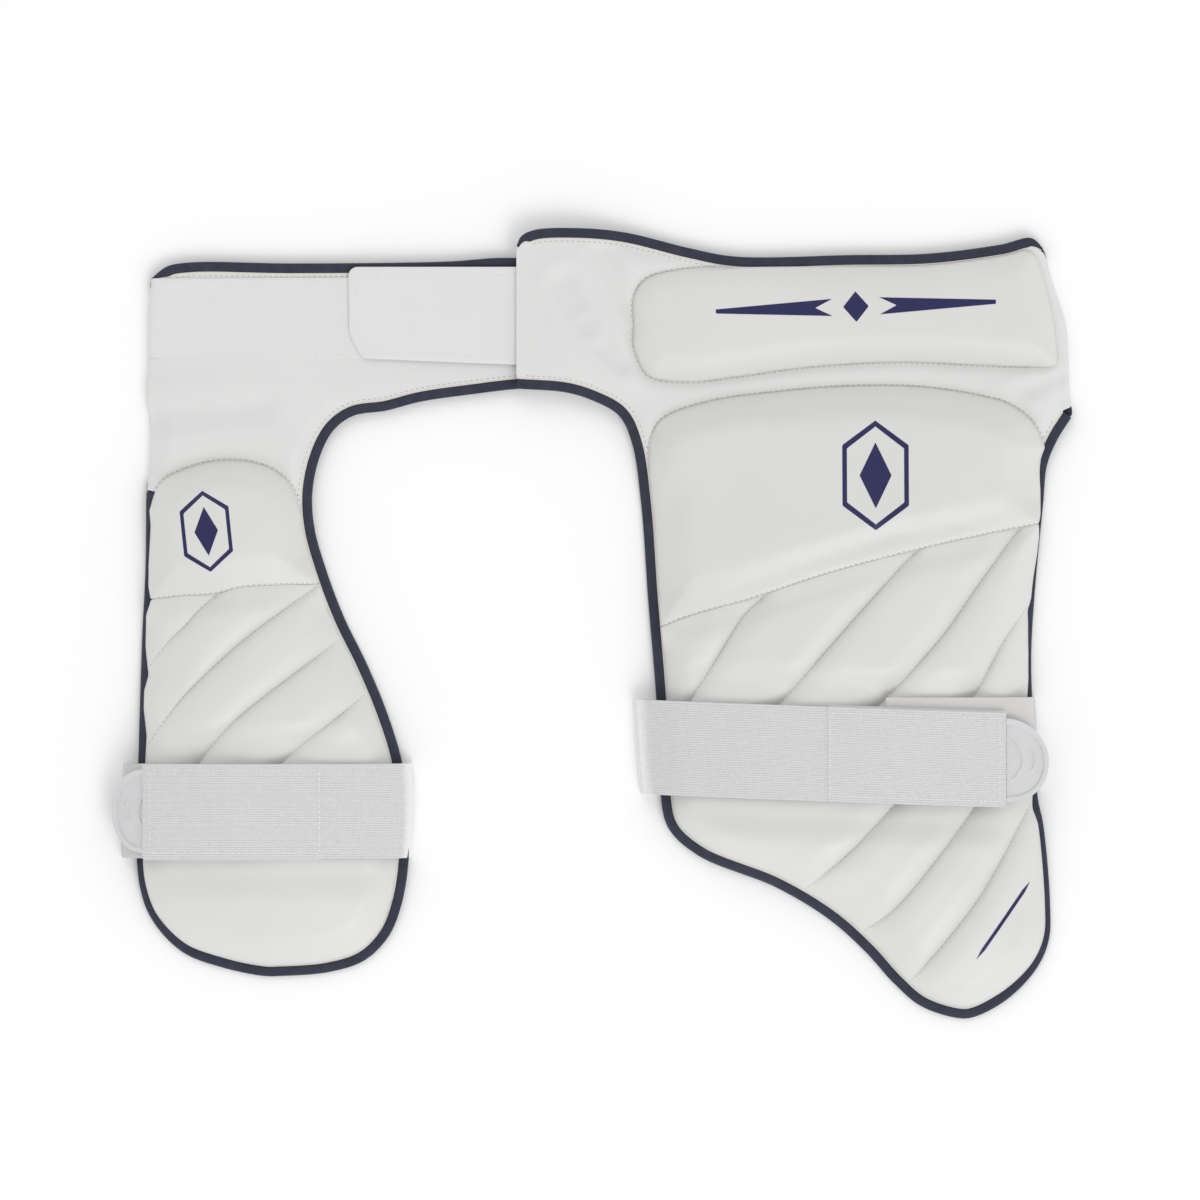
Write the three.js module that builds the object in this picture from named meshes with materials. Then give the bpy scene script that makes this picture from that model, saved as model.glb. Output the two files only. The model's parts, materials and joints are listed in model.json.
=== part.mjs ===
// Cricket thigh guard set, lying on its back: the outer guard to the right, the inner guard to the left,
// and the waist band closed between them. Millimetres, +Z up, faces up.
import * as THREE from "three";

// Driving sizes
const CROTCH_WIDTH = 174; // between the necks of the two guards
const OUTER_WIDTH = 205;
const OUTER_DROP = 333; // from the waist's lower edge down to the tip
const OUTER_WAIST = 85; // height of the waist part above that edge
const OUTER_WING = 66; // how far the wing runs past the neck
const OUTER_RISE = 17; // how far the guard arches over the thigh
const INNER_WIDTH = 138;
const INNER_DROP = 311;
const INNER_WAIST = 67;
const INNER_WING = 127;
const INNER_RISE = 12;

const SHEET = 2.2; // padded fabric of the bases and the back band
const BINDING_WIDTH = 5.4;
const BINDING_THICK = 2.8;
const CLEAR = 0.3; // between pieces that touch
const PAD_CLEAR = 0.5; // between a pad and what it lies on
const STRAP_CLEAR = 0.7; // between a strap and the pads under it
const HIP_LIP = 2; // how far the turned fabric comes round to the front

const HIP_PAD_THICK = 8;
const BLOCK_THICK = 13;
const OUTER_RIB_THICK = 12;
const OUTER_TOE_THICK = 11;
const INNER_BLOCK_THICK = 11;
const INNER_RIB_THICK = 10;
const INNER_TOE_THICK = 10;
const PAD_EDGE_ROUND = 13; // how far in from its edge a pad reaches its full height
const RIB_ROUND = 11; // the same beside a stitched channel
const PAD_EDGE_SHARE = 0.26; // height of a pad's rim as a share of its thickness
const CHANNEL_SHARE = 0.56; // height left under a stitched channel
const HIP_MARGIN = 1.8; // binding left in view beside the pads on the hip side

const STRAP_WIDTH = 50;
const STRAP_THICK = 1.5;
const STRAP_PRESS = 0.2; // share of the pads' height that a strap presses flat
const PRESS_FADE = 15;
const LIFT_FADE = 55; // the guard's edge comes down to the floor over this length beside the strap
const STRAP_SEWN = 34; // length sewn to the back of the guard
const OUTER_STRAP_DROP = 193; // strap's middle below the waist's lower edge
const OUTER_STRAP_TILT = 0.035; // rise for each unit of length, towards the neck
const INNER_STRAP_DROP = 225;
const OUTER_STRAP_OVERHANG = 10; // how far the fold stands past the neck side
const INNER_STRAP_OVERHANG = 5;
const OUTER_FOLD_SLANT = 3.3; // how much further the fold's upper end stands out
const INNER_FOLD_SLANT = 1.5;
const OUTER_TAB_LENGTH = 23;
const INNER_TAB_LENGTH = 17.5;
const TAB_WIDTH = 44;
const TAB_THICK = 1.8;
const OUTER_TAB_PAST = 7.7; // how far the tab's tip passes the hip side
const INNER_TAB_PAST = 12.5;
const PATCH_THICK = 1.3;
const OUTER_PATCH_LENGTH = 82; // loop strip in front, from its fold
const INNER_PATCH_LENGTH = 60;
const OUTER_PATCH_OVERHANG = 3.5;
const INNER_PATCH_OVERHANG = 8;
const OUTER_PATCH_LIFT = 8; // how much higher the loop strip lies than the strap's end
const INNER_PATCH_LIFT = 0;

const LOOP_PANEL_THICK = 0.8;
const HOOK_TAB_THICK = 1.4;
const HOOK_TAB_HEIGHT = 50.5;
const HOOK_TAB_ABOVE = 14; // its lower edge above the waist's lower edge
const HOOK_TAB_CORNER = 5;
const HOOK_TAB_REACH = 89; // past the end of the outer wing
const HOOK_TAB_SEWN = 22; // under the outer wing
const SETTLE_LENGTH = 60; // the outer wing comes down beside the hook tab over this length
const LOOP_PANEL_UNDER = 7; // past the inner wing's end, under the outer wing

// Materials
const finish = (color, roughness) => new THREE.MeshStandardMaterial({ color, roughness, metalness: 0 });
const LEATHER = finish(0xe6e5e2, 0.5);
const FABRIC = finish(0xe2e2e4, 0.85);
const BINDING = finish(0x2b2f4a, 0.7);
const ELASTIC = finish(0xd6d6d6, 0.9);
const MOULDED = finish(0xe9ebeb, 0.35);
const LOOP = finish(0xdfe1e5, 1);

// Levels above the floor side of a guard's edge
const SHEET_LOW = 0.3;
const SHEET_TOP = SHEET_LOW + SHEET;
const PAD_LOW = Math.max(SHEET_TOP, BINDING_THICK) + PAD_CLEAR;
const FRONT_LEVEL = BINDING_THICK + CLEAR; // fronts lie on the back band
const LOOP_PANEL_LOW = SHEET_TOP + CLEAR;
const HOOK_TAB_LOW = LOOP_PANEL_LOW + LOOP_PANEL_THICK + CLEAR;
const OVERLAP_LIFT = HOOK_TAB_LOW + HOOK_TAB_THICK + CLEAR - SHEET_LOW; // outer wing over the hook tab
const STRAP_LIFT = STRAP_THICK + 2 * CLEAR - SHEET_LOW;
const EDGE_INSET = BINDING_WIDTH + CLEAR;
const HIP_TURN = (FRONT_LEVEL + SHEET_LOW + SHEET) / 2; // outer radius where the fabric turns back
const HIP_INSET = HIP_TURN + HIP_LIP + 2 * CLEAR;

// Small tools
const clamp01 = (t) => Math.min(1, Math.max(0, t));
const mix = (a, b, t) => a + (b - a) * t;
const ease = (from, to, value) => {
  const t = clamp01((value - from) / (to - from));
  return t * t * (3 - 2 * t);
};
const steps = (count) => Array.from({ length: count + 1 }, (_, i) => i / count);
const closeAtEnds = (count) => steps(count).map((t) => 0.5 - 0.5 * Math.cos(Math.PI * t));
const table = (columns, rows) =>
  rows.map((row) => Object.fromEntries(columns.map((name, i) => [name, row[i]])));
const vec = (x, y, z = 0) => new THREE.Vector3(x, y, z);
const smoothLine = (points, count) =>
  new THREE.CatmullRomCurve3(points, false, "centripetal").getSpacedPoints(count);
const bulge = (distance, reach) => {
  const left = 1 - clamp01(distance / reach);
  return Math.sqrt(1 - left * left * left);
};

// A plan line's unit normals, to the left of its direction
function leftNormals(line) {
  return line.map((_, i) => {
    const a = line[Math.max(0, i - 1)];
    const b = line[Math.min(line.length - 1, i + 1)];
    return vec(a.y - b.y, b.x - a.x).normalize();
  });
}

// The line moved by a distance to its left
function moved(line, distance) {
  const normals = leftNormals(line);
  return line.map((p, i) => p.clone().addScaledVector(normals[i], distance));
}

// Where a line that runs down the plan has height y
function xAt(line, y) {
  if (y >= line[0].y) return line[0].x;
  for (let i = 1; i < line.length; i += 1) {
    const a = line[i - 1];
    const b = line[i];
    if (y >= b.y) return mix(a.x, b.x, (a.y - y) / Math.max(a.y - b.y, 1e-9));
  }
  return line[line.length - 1].x;
}

function distanceTo(line, x, y) {
  let best = Infinity;
  for (let i = 1; i < line.length; i += 1) {
    const a = line[i - 1];
    const dx = line[i].x - a.x;
    const dy = line[i].y - a.y;
    const t = clamp01(((x - a.x) * dx + (y - a.y) * dy) / Math.max(dx * dx + dy * dy, 1e-9));
    best = Math.min(best, Math.hypot(x - a.x - t * dx, y - a.y - t * dy));
  }
  return best;
}

// The point of a line that lies nearest to p
function nearestOn(line, p) {
  let best = line[0];
  for (let i = 1; i < line.length; i += 1) {
    const q = new THREE.Line3(line[i - 1], line[i]).closestPointToPoint(p, true, vec(0, 0));
    if (q.distanceToSquared(p) < best.distanceToSquared(p)) best = q;
  }
  return best;
}

// Solids. A side of -1 mirrors the piece to the left of the middle. Faces are turned to face out.
function solid(points, faces, side) {
  const placed = points.map((p) => vec(side * p.x, p.y, p.z));
  const volume = faces.reduce(
    (sum, [a, b, c]) => sum + placed[a].dot(placed[b].clone().cross(placed[c])),
    0,
  );
  const shape = new THREE.BufferGeometry();
  shape.setAttribute(
    "position",
    new THREE.Float32BufferAttribute(placed.flatMap((p) => [p.x, p.y, p.z]), 3),
  );
  shape.setIndex(faces.flatMap(([a, b, c]) => (volume > 0 ? [a, b, c] : [a, c, b])));
  shape.computeVertexNormals();
  return shape;
}

// A closed wall between an upper and a lower grid. Rows run down the plan, columns to the right.
function wall(upper, lower, side) {
  const rows = upper.length;
  const columns = upper[0].length;
  const points = [...upper.flat(), ...lower.flat()];
  const top = (i, j) => i * columns + j;
  const low = (i, j) => (rows + i) * columns + j;
  const faces = [];
  const quad = (a, b, c, d) => faces.push([a, b, c], [a, c, d]);
  for (let i = 0; i < rows - 1; i += 1) {
    for (let j = 0; j < columns - 1; j += 1) {
      quad(top(i, j), top(i + 1, j), top(i + 1, j + 1), top(i, j + 1));
      quad(low(i, j), low(i, j + 1), low(i + 1, j + 1), low(i + 1, j));
    }
    quad(top(i, 0), low(i, 0), low(i + 1, 0), top(i + 1, 0));
    quad(top(i, columns - 1), top(i + 1, columns - 1), low(i + 1, columns - 1), low(i, columns - 1));
  }
  for (let j = 0; j < columns - 1; j += 1) {
    quad(top(0, j), top(0, j + 1), low(0, j + 1), low(0, j));
    quad(top(rows - 1, j), low(rows - 1, j), low(rows - 1, j + 1), top(rows - 1, j + 1));
  }
  return solid(points, faces, side);
}

// A closed bar through rings of the same number of points
function bar(rings, side) {
  const count = rings[0].length;
  const points = rings.flat();
  const faces = [];
  for (let i = 0; i < rings.length - 1; i += 1) {
    for (let j = 0; j < count; j += 1) {
      const a = i * count + j;
      const b = i * count + ((j + 1) % count);
      faces.push([a, b, b + count], [a, b + count, a + count]);
    }
  }
  const last = (rings.length - 1) * count;
  for (let j = 1; j < count - 1; j += 1) {
    faces.push([0, j + 1, j], [last, last + j, last + j + 1]);
  }
  return solid(points, faces, side);
}

// Section of the folded binding: from the guard's fabric out to the edge
const BINDING_SECTION = table(["out", "up"], [
  [0, 0], [0, 1], [0.75, 1], [1, 0.7], [1, 0.3], [0.75, 0],
]);

// Guards, each in its own frame: neck side to the left, hip side to the right, waist up.
// across and wing are shares of the guard's width and wing, drop and up of its drop and waist.
const OUTER = {
  side: 1,
  width: OUTER_WIDTH,
  drop: OUTER_DROP,
  waist: OUTER_WAIST,
  wing: OUTER_WING,
  rise: OUTER_RISE,
  levelFrom: 0.05,
  levelTo: 0.2,
  strapDrop: OUTER_STRAP_DROP,
  strapTilt: OUTER_STRAP_TILT,
  strapOverhang: OUTER_STRAP_OVERHANG,
  foldSlant: OUTER_FOLD_SLANT,
  tabLength: OUTER_TAB_LENGTH,
  tabPast: OUTER_TAB_PAST,
  patchLength: OUTER_PATCH_LENGTH,
  patchOverhang: OUTER_PATCH_OVERHANG,
  patchLift: OUTER_PATCH_LIFT,
  bedThick: Math.max(OUTER_RIB_THICK, OUTER_TOE_THICK),
  arch: table(["wing", "drop"], [
    [1, 0], [0.605, 0.006], [0.387, 0.019], [0.177, 0.043], [0.073, 0.087],
  ]),
  neck: table(["across", "drop"], [
    [0, 0.183], [0.018, 0.335], [0.039, 0.494], [0.049, 0.638], [0.07, 0.698], [0.147, 0.742],
    [0.349, 0.793], [0.486, 0.844], [0.579, 0.895], [0.654, 0.946], [0.721, 0.981], [0.811, 1],
  ]),
  hip: table(["across", "drop"], [
    [0.855, 1], [0.946, 0.971], [1.023, 0.921], [1.054, 0.876], [1.057, 0.819], [1.039, 0.692],
    [1.016, 0.558], [1.008, 0.431], [1.016, 0.335], [1.039, 0.183], [1.049, 0.121], [1.075, 0.081],
    [1.114, 0.043],
  ]),
  turn: table(["across", "up"], [
    [1.039, 0.875], [1.065, 0.644], [1.096, 0.419], [1.103, 0.237], [1.106, 0.006], [1.114, -0.17],
  ]),
  top: [
    ...table(["wing", "up"], [[1, 0.887], [0.96, 0.95], [0.855, 0.988], [0.532, 1], [0.137, 0.975]]),
    ...table(["across", "up"], [
      [0.129, 0.875], [0.243, 0.825], [0.54, 0.834], [0.747, 0.844], [0.93, 0.9], [1.008, 0.94],
      [1.039, 0.875],
    ]),
  ],
};

const INNER = {
  side: -1,
  width: INNER_WIDTH,
  drop: INNER_DROP,
  waist: INNER_WAIST,
  wing: INNER_WING,
  rise: INNER_RISE,
  levelFrom: 0.19,
  levelTo: 0.33,
  strapDrop: INNER_STRAP_DROP,
  strapTilt: 0,
  strapOverhang: INNER_STRAP_OVERHANG,
  foldSlant: INNER_FOLD_SLANT,
  tabLength: INNER_TAB_LENGTH,
  tabPast: INNER_TAB_PAST,
  patchLength: INNER_PATCH_LENGTH,
  patchOverhang: INNER_PATCH_OVERHANG,
  patchLift: INNER_PATCH_LIFT,
  bedThick: Math.max(INNER_RIB_THICK, INNER_TOE_THICK),
  arch: table(["wing", "drop"], [
    [1, 0], [0.862, 0], [0.668, 0.009], [0.449, 0.022], [0.308, 0.037], [0.17, 0.046], [0.089, 0.07],
    [0.032, 0.114],
  ]),
  neck: table(["across", "drop"], [
    [0, 0.175], [-0.008, 0.237], [-0.05, 0.305], [-0.119, 0.387], [-0.208, 0.468], [-0.285, 0.55],
    [-0.342, 0.632], [-0.369, 0.721], [-0.369, 0.802], [-0.342, 0.877], [-0.292, 0.932],
    [-0.2, 0.973], [-0.065, 0.993], [0.127, 1],
  ]),
  hip: table(["across", "drop"], [
    [0.185, 1], [0.342, 0.986], [0.5, 0.959], [0.615, 0.905], [0.662, 0.85], [0.677, 0.751],
    [0.669, 0.632], [0.662, 0.523], [0.654, 0.414], [0.642, 0.305], [0.638, 0.175],
  ]),
  turn: table(["across", "up"], [
    [0.619, 0.873], [0.631, 0.54], [0.631, 0.159], [0.64, -0.033], [0.622, -0.283], [0.627, -0.655],
    [0.638, -0.812],
  ]),
  top: [
    ...table(["wing", "up"], [[1, 1.024], [0.777, 1.036], [0.571, 1.008]]),
    ...table(["across", "up"], [[0.077, 0.992], [0.465, 1], [0.558, 0.968], [0.619, 0.873]]),
  ],
};

// A row of a table in millimetres
function place(guard, { across = 0, wing = 0, up = 0, drop = 0 }) {
  return vec(
    CROTCH_WIDTH / 2 + across * guard.width - wing * guard.wing,
    up * guard.waist - drop * guard.drop,
  );
}
const line = (guard, rows, count) => smoothLine(rows.map((row) => place(guard, row)), count);

const lowestOf = (points) => points.reduce((low, p, i) => (p.y < points[low].y ? i : low), 0);

// Points along the silhouette's lines
const EDGE_POINTS = 260;
const TURN_POINTS = 40;
const TOP_POINTS = 120;
const RIB_POINTS = 20;
const BAND_POINTS = 60;

// The silhouette's lines: edge from the wing's end round the tip to the hip, turn down the hip, top above
for (const guard of [OUTER, INNER]) {
  guard.edge = line(guard, [...guard.arch, ...guard.neck, ...guard.hip], EDGE_POINTS);
  guard.turnLine = line(guard, guard.turn, TURN_POINTS);
  guard.topLine = line(guard, guard.top, TOP_POINTS);
  const tip = lowestOf(guard.edge);
  guard.neckEdge = guard.edge.slice(0, tip + 1);
  guard.hipEdge = [...guard.turnLine, ...guard.edge.slice(tip).reverse()];
  guard.wingEnd = place(guard, { wing: 1 }).x;
}

const middleX = (guard) => (CROTCH_WIDTH + guard.width) / 2;
const strapMiddle = (guard, x) => -guard.strapDrop - guard.strapTilt * (x - middleX(guard));

// 1 where the strap and the loop strip lie, easing to 0 beside them
function underStrap(guard, x, y, fade) {
  const flat = STRAP_WIDTH / 2 + OUTER_PATCH_LIFT + CLEAR;
  return 1 - ease(flat, flat + fade, Math.abs(y - strapMiddle(guard, x)));
}

// Soft dents where the outer wing hangs between the waist and the hip pad
const WING_DENTS = table(["fromWing", "fromUp", "toWing", "toUp", "depth"], [
  [0.53, 0.631, 0.14, 0.138, 1.3],
  [0.315, 0.8, 0.137, 0.588, 0.9],
]);
const DENT_REACH = 9;

function dent(guard, x, y) {
  if (guard !== OUTER) return 0;
  return WING_DENTS.reduce((sum, row) => {
    const from = place(guard, { wing: row.fromWing, up: row.fromUp });
    const to = place(guard, { wing: row.toWing, up: row.toUp });
    return sum + row.depth * (1 - ease(0, DENT_REACH, distanceTo([from, to], x, y)));
  }, 0);
}

// The arch over the thigh rises and falls between these shares of the drop
const ARCH_FROM = 0.02;
const ARCH_FULL = 0.3;
const ARCH_FADE = 0.35;
const WING_DROP = 0.1; // the wing's lift over the hook tab is gone at this share

// Height of the guard's floor side: what it lies on, and its arch over the thigh
function ground(guard, x, y) {
  const drop = -y / guard.drop;
  const left = xAt(guard.neckEdge, y);
  const right = xAt(guard.hipEdge, y);
  const across = clamp01((x - left) / (right - left));
  const arched = ease(ARCH_FROM, ARCH_FULL, drop) * (1 - clamp01((drop - ARCH_FADE) / (1 - ARCH_FADE)) ** 3);
  const settled = guard.wingEnd + HOOK_TAB_SEWN + SETTLE_LENGTH;
  const overlap = guard === OUTER ? 1 - ease(settled - SETTLE_LENGTH, settled, x) : 0;
  return (
    FRONT_LEVEL * (1 - ease(guard.levelFrom, guard.levelTo, drop)) +
    OVERLAP_LIFT * overlap * (1 - ease(0, WING_DROP, drop)) +
    STRAP_LIFT * underStrap(guard, x, y, LIFT_FADE) +
    guard.rise * arched * (1 - (2 * across - 1) ** 2)
  );
}
const lifted = (guard, p, up) => vec(p.x, p.y, ground(guard, p.x, p.y) + up);

// Base sheet
const BASE_ROWS = 20;
const BASE_WAIST_ROWS = 4;
const BASE_SHARES = [0, 0.03, 0.09, 0.155, 0.22, 0.3, 0.42, 0.58, 0.74, 0.89, 0.97, 1];
const TIP_ROW = 0.97; // where the last row turns to follow the tip

function baseGrid(guard) {
  const inner = moved(guard.edge, EDGE_INSET);
  const tip = lowestOf(inner);
  const left = inner.slice(0, tip + 1);
  const hipPart = inner.slice(tip).reverse();
  const turn = moved(guard.turnLine, -HIP_INSET);
  const right = [...turn.filter((p) => p.y > hipPart[0].y), ...hipPart];
  const top = moved(guard.topLine, -EDGE_INSET).filter(
    (p) => p.x > guard.wingEnd && p.x < xAt(turn, p.y),
  );
  const topCurve = new THREE.CatmullRomCurve3(top);
  const low = EDGE_INSET;
  const acrossRow = (y, from) => BASE_SHARES.map((s) => vec(mix(from, xAt(right, y), s), y));
  const waistRow = acrossRow(low, guard.wingEnd);
  const topRow = BASE_SHARES.map((s) => topCurve.getPointAt(s));
  topRow[0].x = guard.wingEnd;
  const waist = steps(BASE_WAIST_ROWS).map((t) => topRow.map((p, j) => {
    const q = p.clone().lerp(waistRow[j], t);
    q.x = mix(p.x, mix(guard.wingEnd, xAt(right, q.y), BASE_SHARES[j]), t);
    return q;
  }));
  const bottom = inner[tip].y;
  const body = closeAtEnds(BASE_ROWS)
    .slice(1, -1)
    .map((t) => mix(low, bottom, t * TIP_ROW))
    .map((y) => acrossRow(y, xAt(left, y)));
  const lastY = mix(low, bottom, TIP_ROW);
  const round = inner.filter((p, i) => p.y < lastY && i > tip / 2);
  const ends = [vec(xAt(left, lastY), lastY), vec(xAt(right, lastY), lastY)];
  const tipCurve = new THREE.CatmullRomCurve3([ends[0], ...round, ends[1]]);
  return [...waist, ...body, BASE_SHARES.map((s) => tipCurve.getPointAt(s))];
}

function base(guard) {
  const face = (level) =>
    guard.grid.map((row) => row.map((p) => lifted(guard, p, level - dent(guard, p.x, p.y))));
  return wall(face(SHEET_TOP), face(SHEET_LOW), guard.side);
}

// A binding along a line of the base's own corners, outside it
function binding(guard, along, outward) {
  const normals = leftNormals(along);
  if (outward > 0) normals[normals.length - 1] = vec(0, 1);
  const rings = along.map((p, i) =>
    BINDING_SECTION.map(({ out, up }) => {
      const reach = (CLEAR + out * BINDING_WIDTH) * outward;
      const q = p.clone().addScaledVector(normals[i], reach);
      return lifted(guard, q, up * BINDING_THICK);
    }),
  );
  return bar(rings, guard.side);
}

function topBinding(guard) {
  return binding(guard, guard.grid[0], 1);
}

function edgeBinding(guard) {
  const rows = guard.grid.slice(BASE_WAIST_ROWS);
  const last = rows[rows.length - 1];
  const down = rows.slice(0, -1).map((row) => row[0]);
  const hipTop = guard.turnLine[guard.turnLine.length - 1].y;
  const up = rows.slice(0, -1).map((row) => row[row.length - 1]).filter((p) => p.y < hipTop).reverse();
  return binding(guard, [...down, ...last, ...up], -1);
}

// The line that the pads keep to: inside the binding on the neck side, over most of it on the hip side
const TIP_TURN = 0.12; // share of the edge over which it moves out, past the tip
function padLine(guard) {
  const tip = guard.neckEdge.length;
  const turned = guard.edge.length * TIP_TURN;
  const normals = leftNormals(guard.edge);
  return guard.edge.map((p, i) => {
    const margin = mix(BINDING_WIDTH + CLEAR, HIP_MARGIN, ease(tip, tip + turned, i));
    return p.clone().addScaledVector(normals[i], margin);
  });
}

for (const guard of [OUTER, INNER]) {
  guard.grid = baseGrid(guard);
  guard.padLine = padLine(guard);
  const tip = lowestOf(guard.padLine);
  guard.neckPads = guard.padLine.slice(0, tip + 1);
  guard.hipPads = guard.padLine.slice(tip).reverse();
}

// Pads
const RIM_STEPS = [0, 0.03, 0.1, 0.24, 0.5, 0.76, 0.9, 0.97, 1];
const LONG_STEPS = [0, 0.015, 0.05, 0.13, 0.28, 0.43, 0.57, 0.72, 0.87, 0.95, 0.985, 1];
const STRIP_STEPS = [0, 0.17, 0.5, 0.83];
const RAIL_STEPS = [0, 0.035, 0.12, 0.3, 0.5, 0.7, 0.88, 0.965, 1];
const SNAP = 8; // a pad's corner this near to the pad line is drawn onto it

// A pad's corner is drawn onto the pad line if it lies near it
function hug(guard, p) {
  const q = nearestOn(guard.padLine, p);
  return q.distanceTo(p) < SNAP ? q : p;
}

const curveOf = (guard, rows) =>
  new THREE.CatmullRomCurve3(rows.map((row) => place(guard, row)), false, "centripetal");

// A plan between an upper and a lower line
function between(guard, topRows, lowRows) {
  const last = LONG_STEPS.length - 1;
  const hugEnds = (p, j) => (j === 0 || j === last ? hug(guard, p) : p);
  const top = curveOf(guard, topRows);
  const low = curveOf(guard, lowRows);
  const upper = LONG_STEPS.map((s, j) => hugEnds(top.getPointAt(s), j));
  const lower = LONG_STEPS.map((s, j) => hugEnds(low.getPointAt(s), j));
  return RIM_STEPS.map((t) => upper.map((p, j) => hugEnds(p.clone().lerp(lower[j], t), j)));
}

// A plan of strips between rails that run from the upper end to the lower one
function alongRails(guard, rails) {
  const end = RAIL_STEPS.length - 1;
  const hugEnds = (p, j) => (j === 0 || j === end ? hug(guard, p) : p);
  const lines = rails.map(({ points }, i) => {
    const curve = curveOf(guard, points);
    const outermost = i === 0 || i === rails.length - 1;
    return RAIL_STEPS.map((s, j) => {
      const p = curve.getPointAt(s);
      return outermost ? hug(guard, p) : hugEnds(p, j);
    });
  });
  const rows = [];
  for (let i = 0; i < lines.length - 1; i += 1) {
    for (const t of STRIP_STEPS) {
      rows.push(lines[i].map((p, j) => hugEnds(p.clone().lerp(lines[i + 1][j], t), j)));
    }
  }
  return [...rows, lines[lines.length - 1]];
}

const rimOf = (grid) => [
  ...grid[0],
  ...grid.map((row) => row[row.length - 1]),
  ...[...grid[grid.length - 1]].reverse(),
  ...grid.map((row) => row[0]).reverse(),
];

function pad(guard, grid, thick, ribs) {
  const rim = rimOf(grid);
  const channels = ribs.map((points) => line(guard, points, RIB_POINTS));
  const height = (p) => {
    const edge = bulge(distanceTo(rim, p.x, p.y), PAD_EDGE_ROUND);
    const rib = Math.min(...channels.map((c) => bulge(distanceTo(c, p.x, p.y), RIB_ROUND)), 1);
    const full = mix(PAD_EDGE_SHARE, 1, edge) * mix(CHANNEL_SHARE, 1, rib);
    return thick * full * (1 - STRAP_PRESS * underStrap(guard, p.x, p.y, PRESS_FADE));
  };
  const upper = grid.map((row) => row.map((p) => lifted(guard, p, PAD_LOW + height(p))));
  const lower = grid.map((row) => row.map((p) => lifted(guard, p, PAD_LOW)));
  return wall(upper, lower, guard.side);
}

const acrossUp = (rows) => table(["across", "up"], rows);
const acrossDrop = (rows) => table(["across", "drop"], rows);
const rail = (rib, rows) => ({ rib, points: acrossDrop(rows) });
const ribsOf = (rails) => rails.filter(({ rib }) => rib).map(({ points }) => points);

const HIP_PAD = {
  top: acrossUp([
    [-0.021, 0.44], [-0.021, 0.556], [-0.003, 0.65], [0.023, 0.7], [0.127, 0.75], [0.243, 0.758],
    [0.54, 0.765], [0.747, 0.772], [0.93, 0.828], [1, 0.862], [1.015, 0.82], [1.05, 0.6],
  ]),
  low: acrossUp([
    [-0.02, 0.4], [-0.021, 0.275], [-0.003, 0.15], [0.023, 0.075], [0.127, 0.044], [0.243, 0.075],
    [0.437, 0.138], [0.68, 0.169], [0.811, 0.156], [0.995, 0.138], [1.07, 0.15], [1.072, 0.3],
  ]),
};
const THIGH_BLOCK = {
  top: acrossDrop([
    [0.019, 0.13], [0.024, 0.081], [0.054, 0.048], [0.178, 0.02], [0.333, 0.006], [0.527, -0.004],
    [0.721, -0.003], [0.876, 0.011], [0.953, 0.025], [1.01, 0.052], [1.03, 0.089],
  ]),
  low: acrossDrop([
    [0.044, 0.375], [0.14, 0.356], [0.279, 0.332], [0.333, 0.321], [0.488, 0.29], [0.721, 0.252],
    [0.876, 0.231], [1.014, 0.213],
  ]),
};
const OUTER_RIBS = [
  rail(false, [[0.046, 0.382], [0.049, 0.577]]),
  rail(true, [[0.313, 0.331], [0.264, 0.361], [0.196, 0.426], [0.132, 0.49], [0.09, 0.542], [0.066, 0.584]]),
  rail(true, [[0.705, 0.26], [0.597, 0.331], [0.465, 0.423], [0.377, 0.485], [0.3, 0.542], [0.256, 0.584]]),
  rail(true, [[0.972, 0.225], [0.866, 0.313], [0.78, 0.388], [0.656, 0.474], [0.553, 0.537], [0.47, 0.584]]),
  rail(false, [[1.014, 0.219], [0.88, 0.37], [0.72, 0.5], [0.61, 0.584]]),
  rail(true, [[1.013, 0.335], [0.938, 0.397], [0.858, 0.485], [0.747, 0.584]]),
  rail(true, [[1.01, 0.502], [0.935, 0.584]]),
  rail(false, [[1.012, 0.57], [0.99, 0.584]]),
];
const OUTER_TOE = [
  rail(false, [[0.05, 0.592], [0.055, 0.64], [0.09, 0.7], [0.17, 0.735], [0.36, 0.783]]),
  rail(false, [[0.42, 0.592], [0.38, 0.66], [0.36, 0.72], [0.4, 0.79]]),
  rail(true, [[0.747, 0.592], [0.638, 0.668], [0.548, 0.728], [0.42, 0.797]]),
  rail(true, [[0.935, 0.592], [0.855, 0.666], [0.773, 0.736], [0.649, 0.827], [0.57, 0.863]]),
  rail(false, [[1.008, 0.592], [0.93, 0.69], [0.8, 0.82], [0.63, 0.91]]),
  rail(true, [[1.021, 0.645], [0.979, 0.687], [0.935, 0.739], [0.871, 0.806], [0.798, 0.866], [0.69, 0.945]]),
  rail(false, [[1.035, 0.72], [1.045, 0.82], [1.04, 0.876], [1.01, 0.92], [0.93, 0.962], [0.83, 0.98]]),
];
const INNER_BLOCK = {
  top: acrossDrop([
    [0.612, 0.206], [0.596, 0.17], [0.565, 0.153], [0.512, 0.141], [0.388, 0.124], [0.242, 0.124],
    [0.135, 0.141], [0.075, 0.168], [0.044, 0.21],
  ]),
  low: acrossDrop([
    [0.612, 0.356], [0.512, 0.35], [0.377, 0.346], [0.269, 0.335], [0.135, 0.331], [-0.03, 0.329],
  ]),
};
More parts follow.
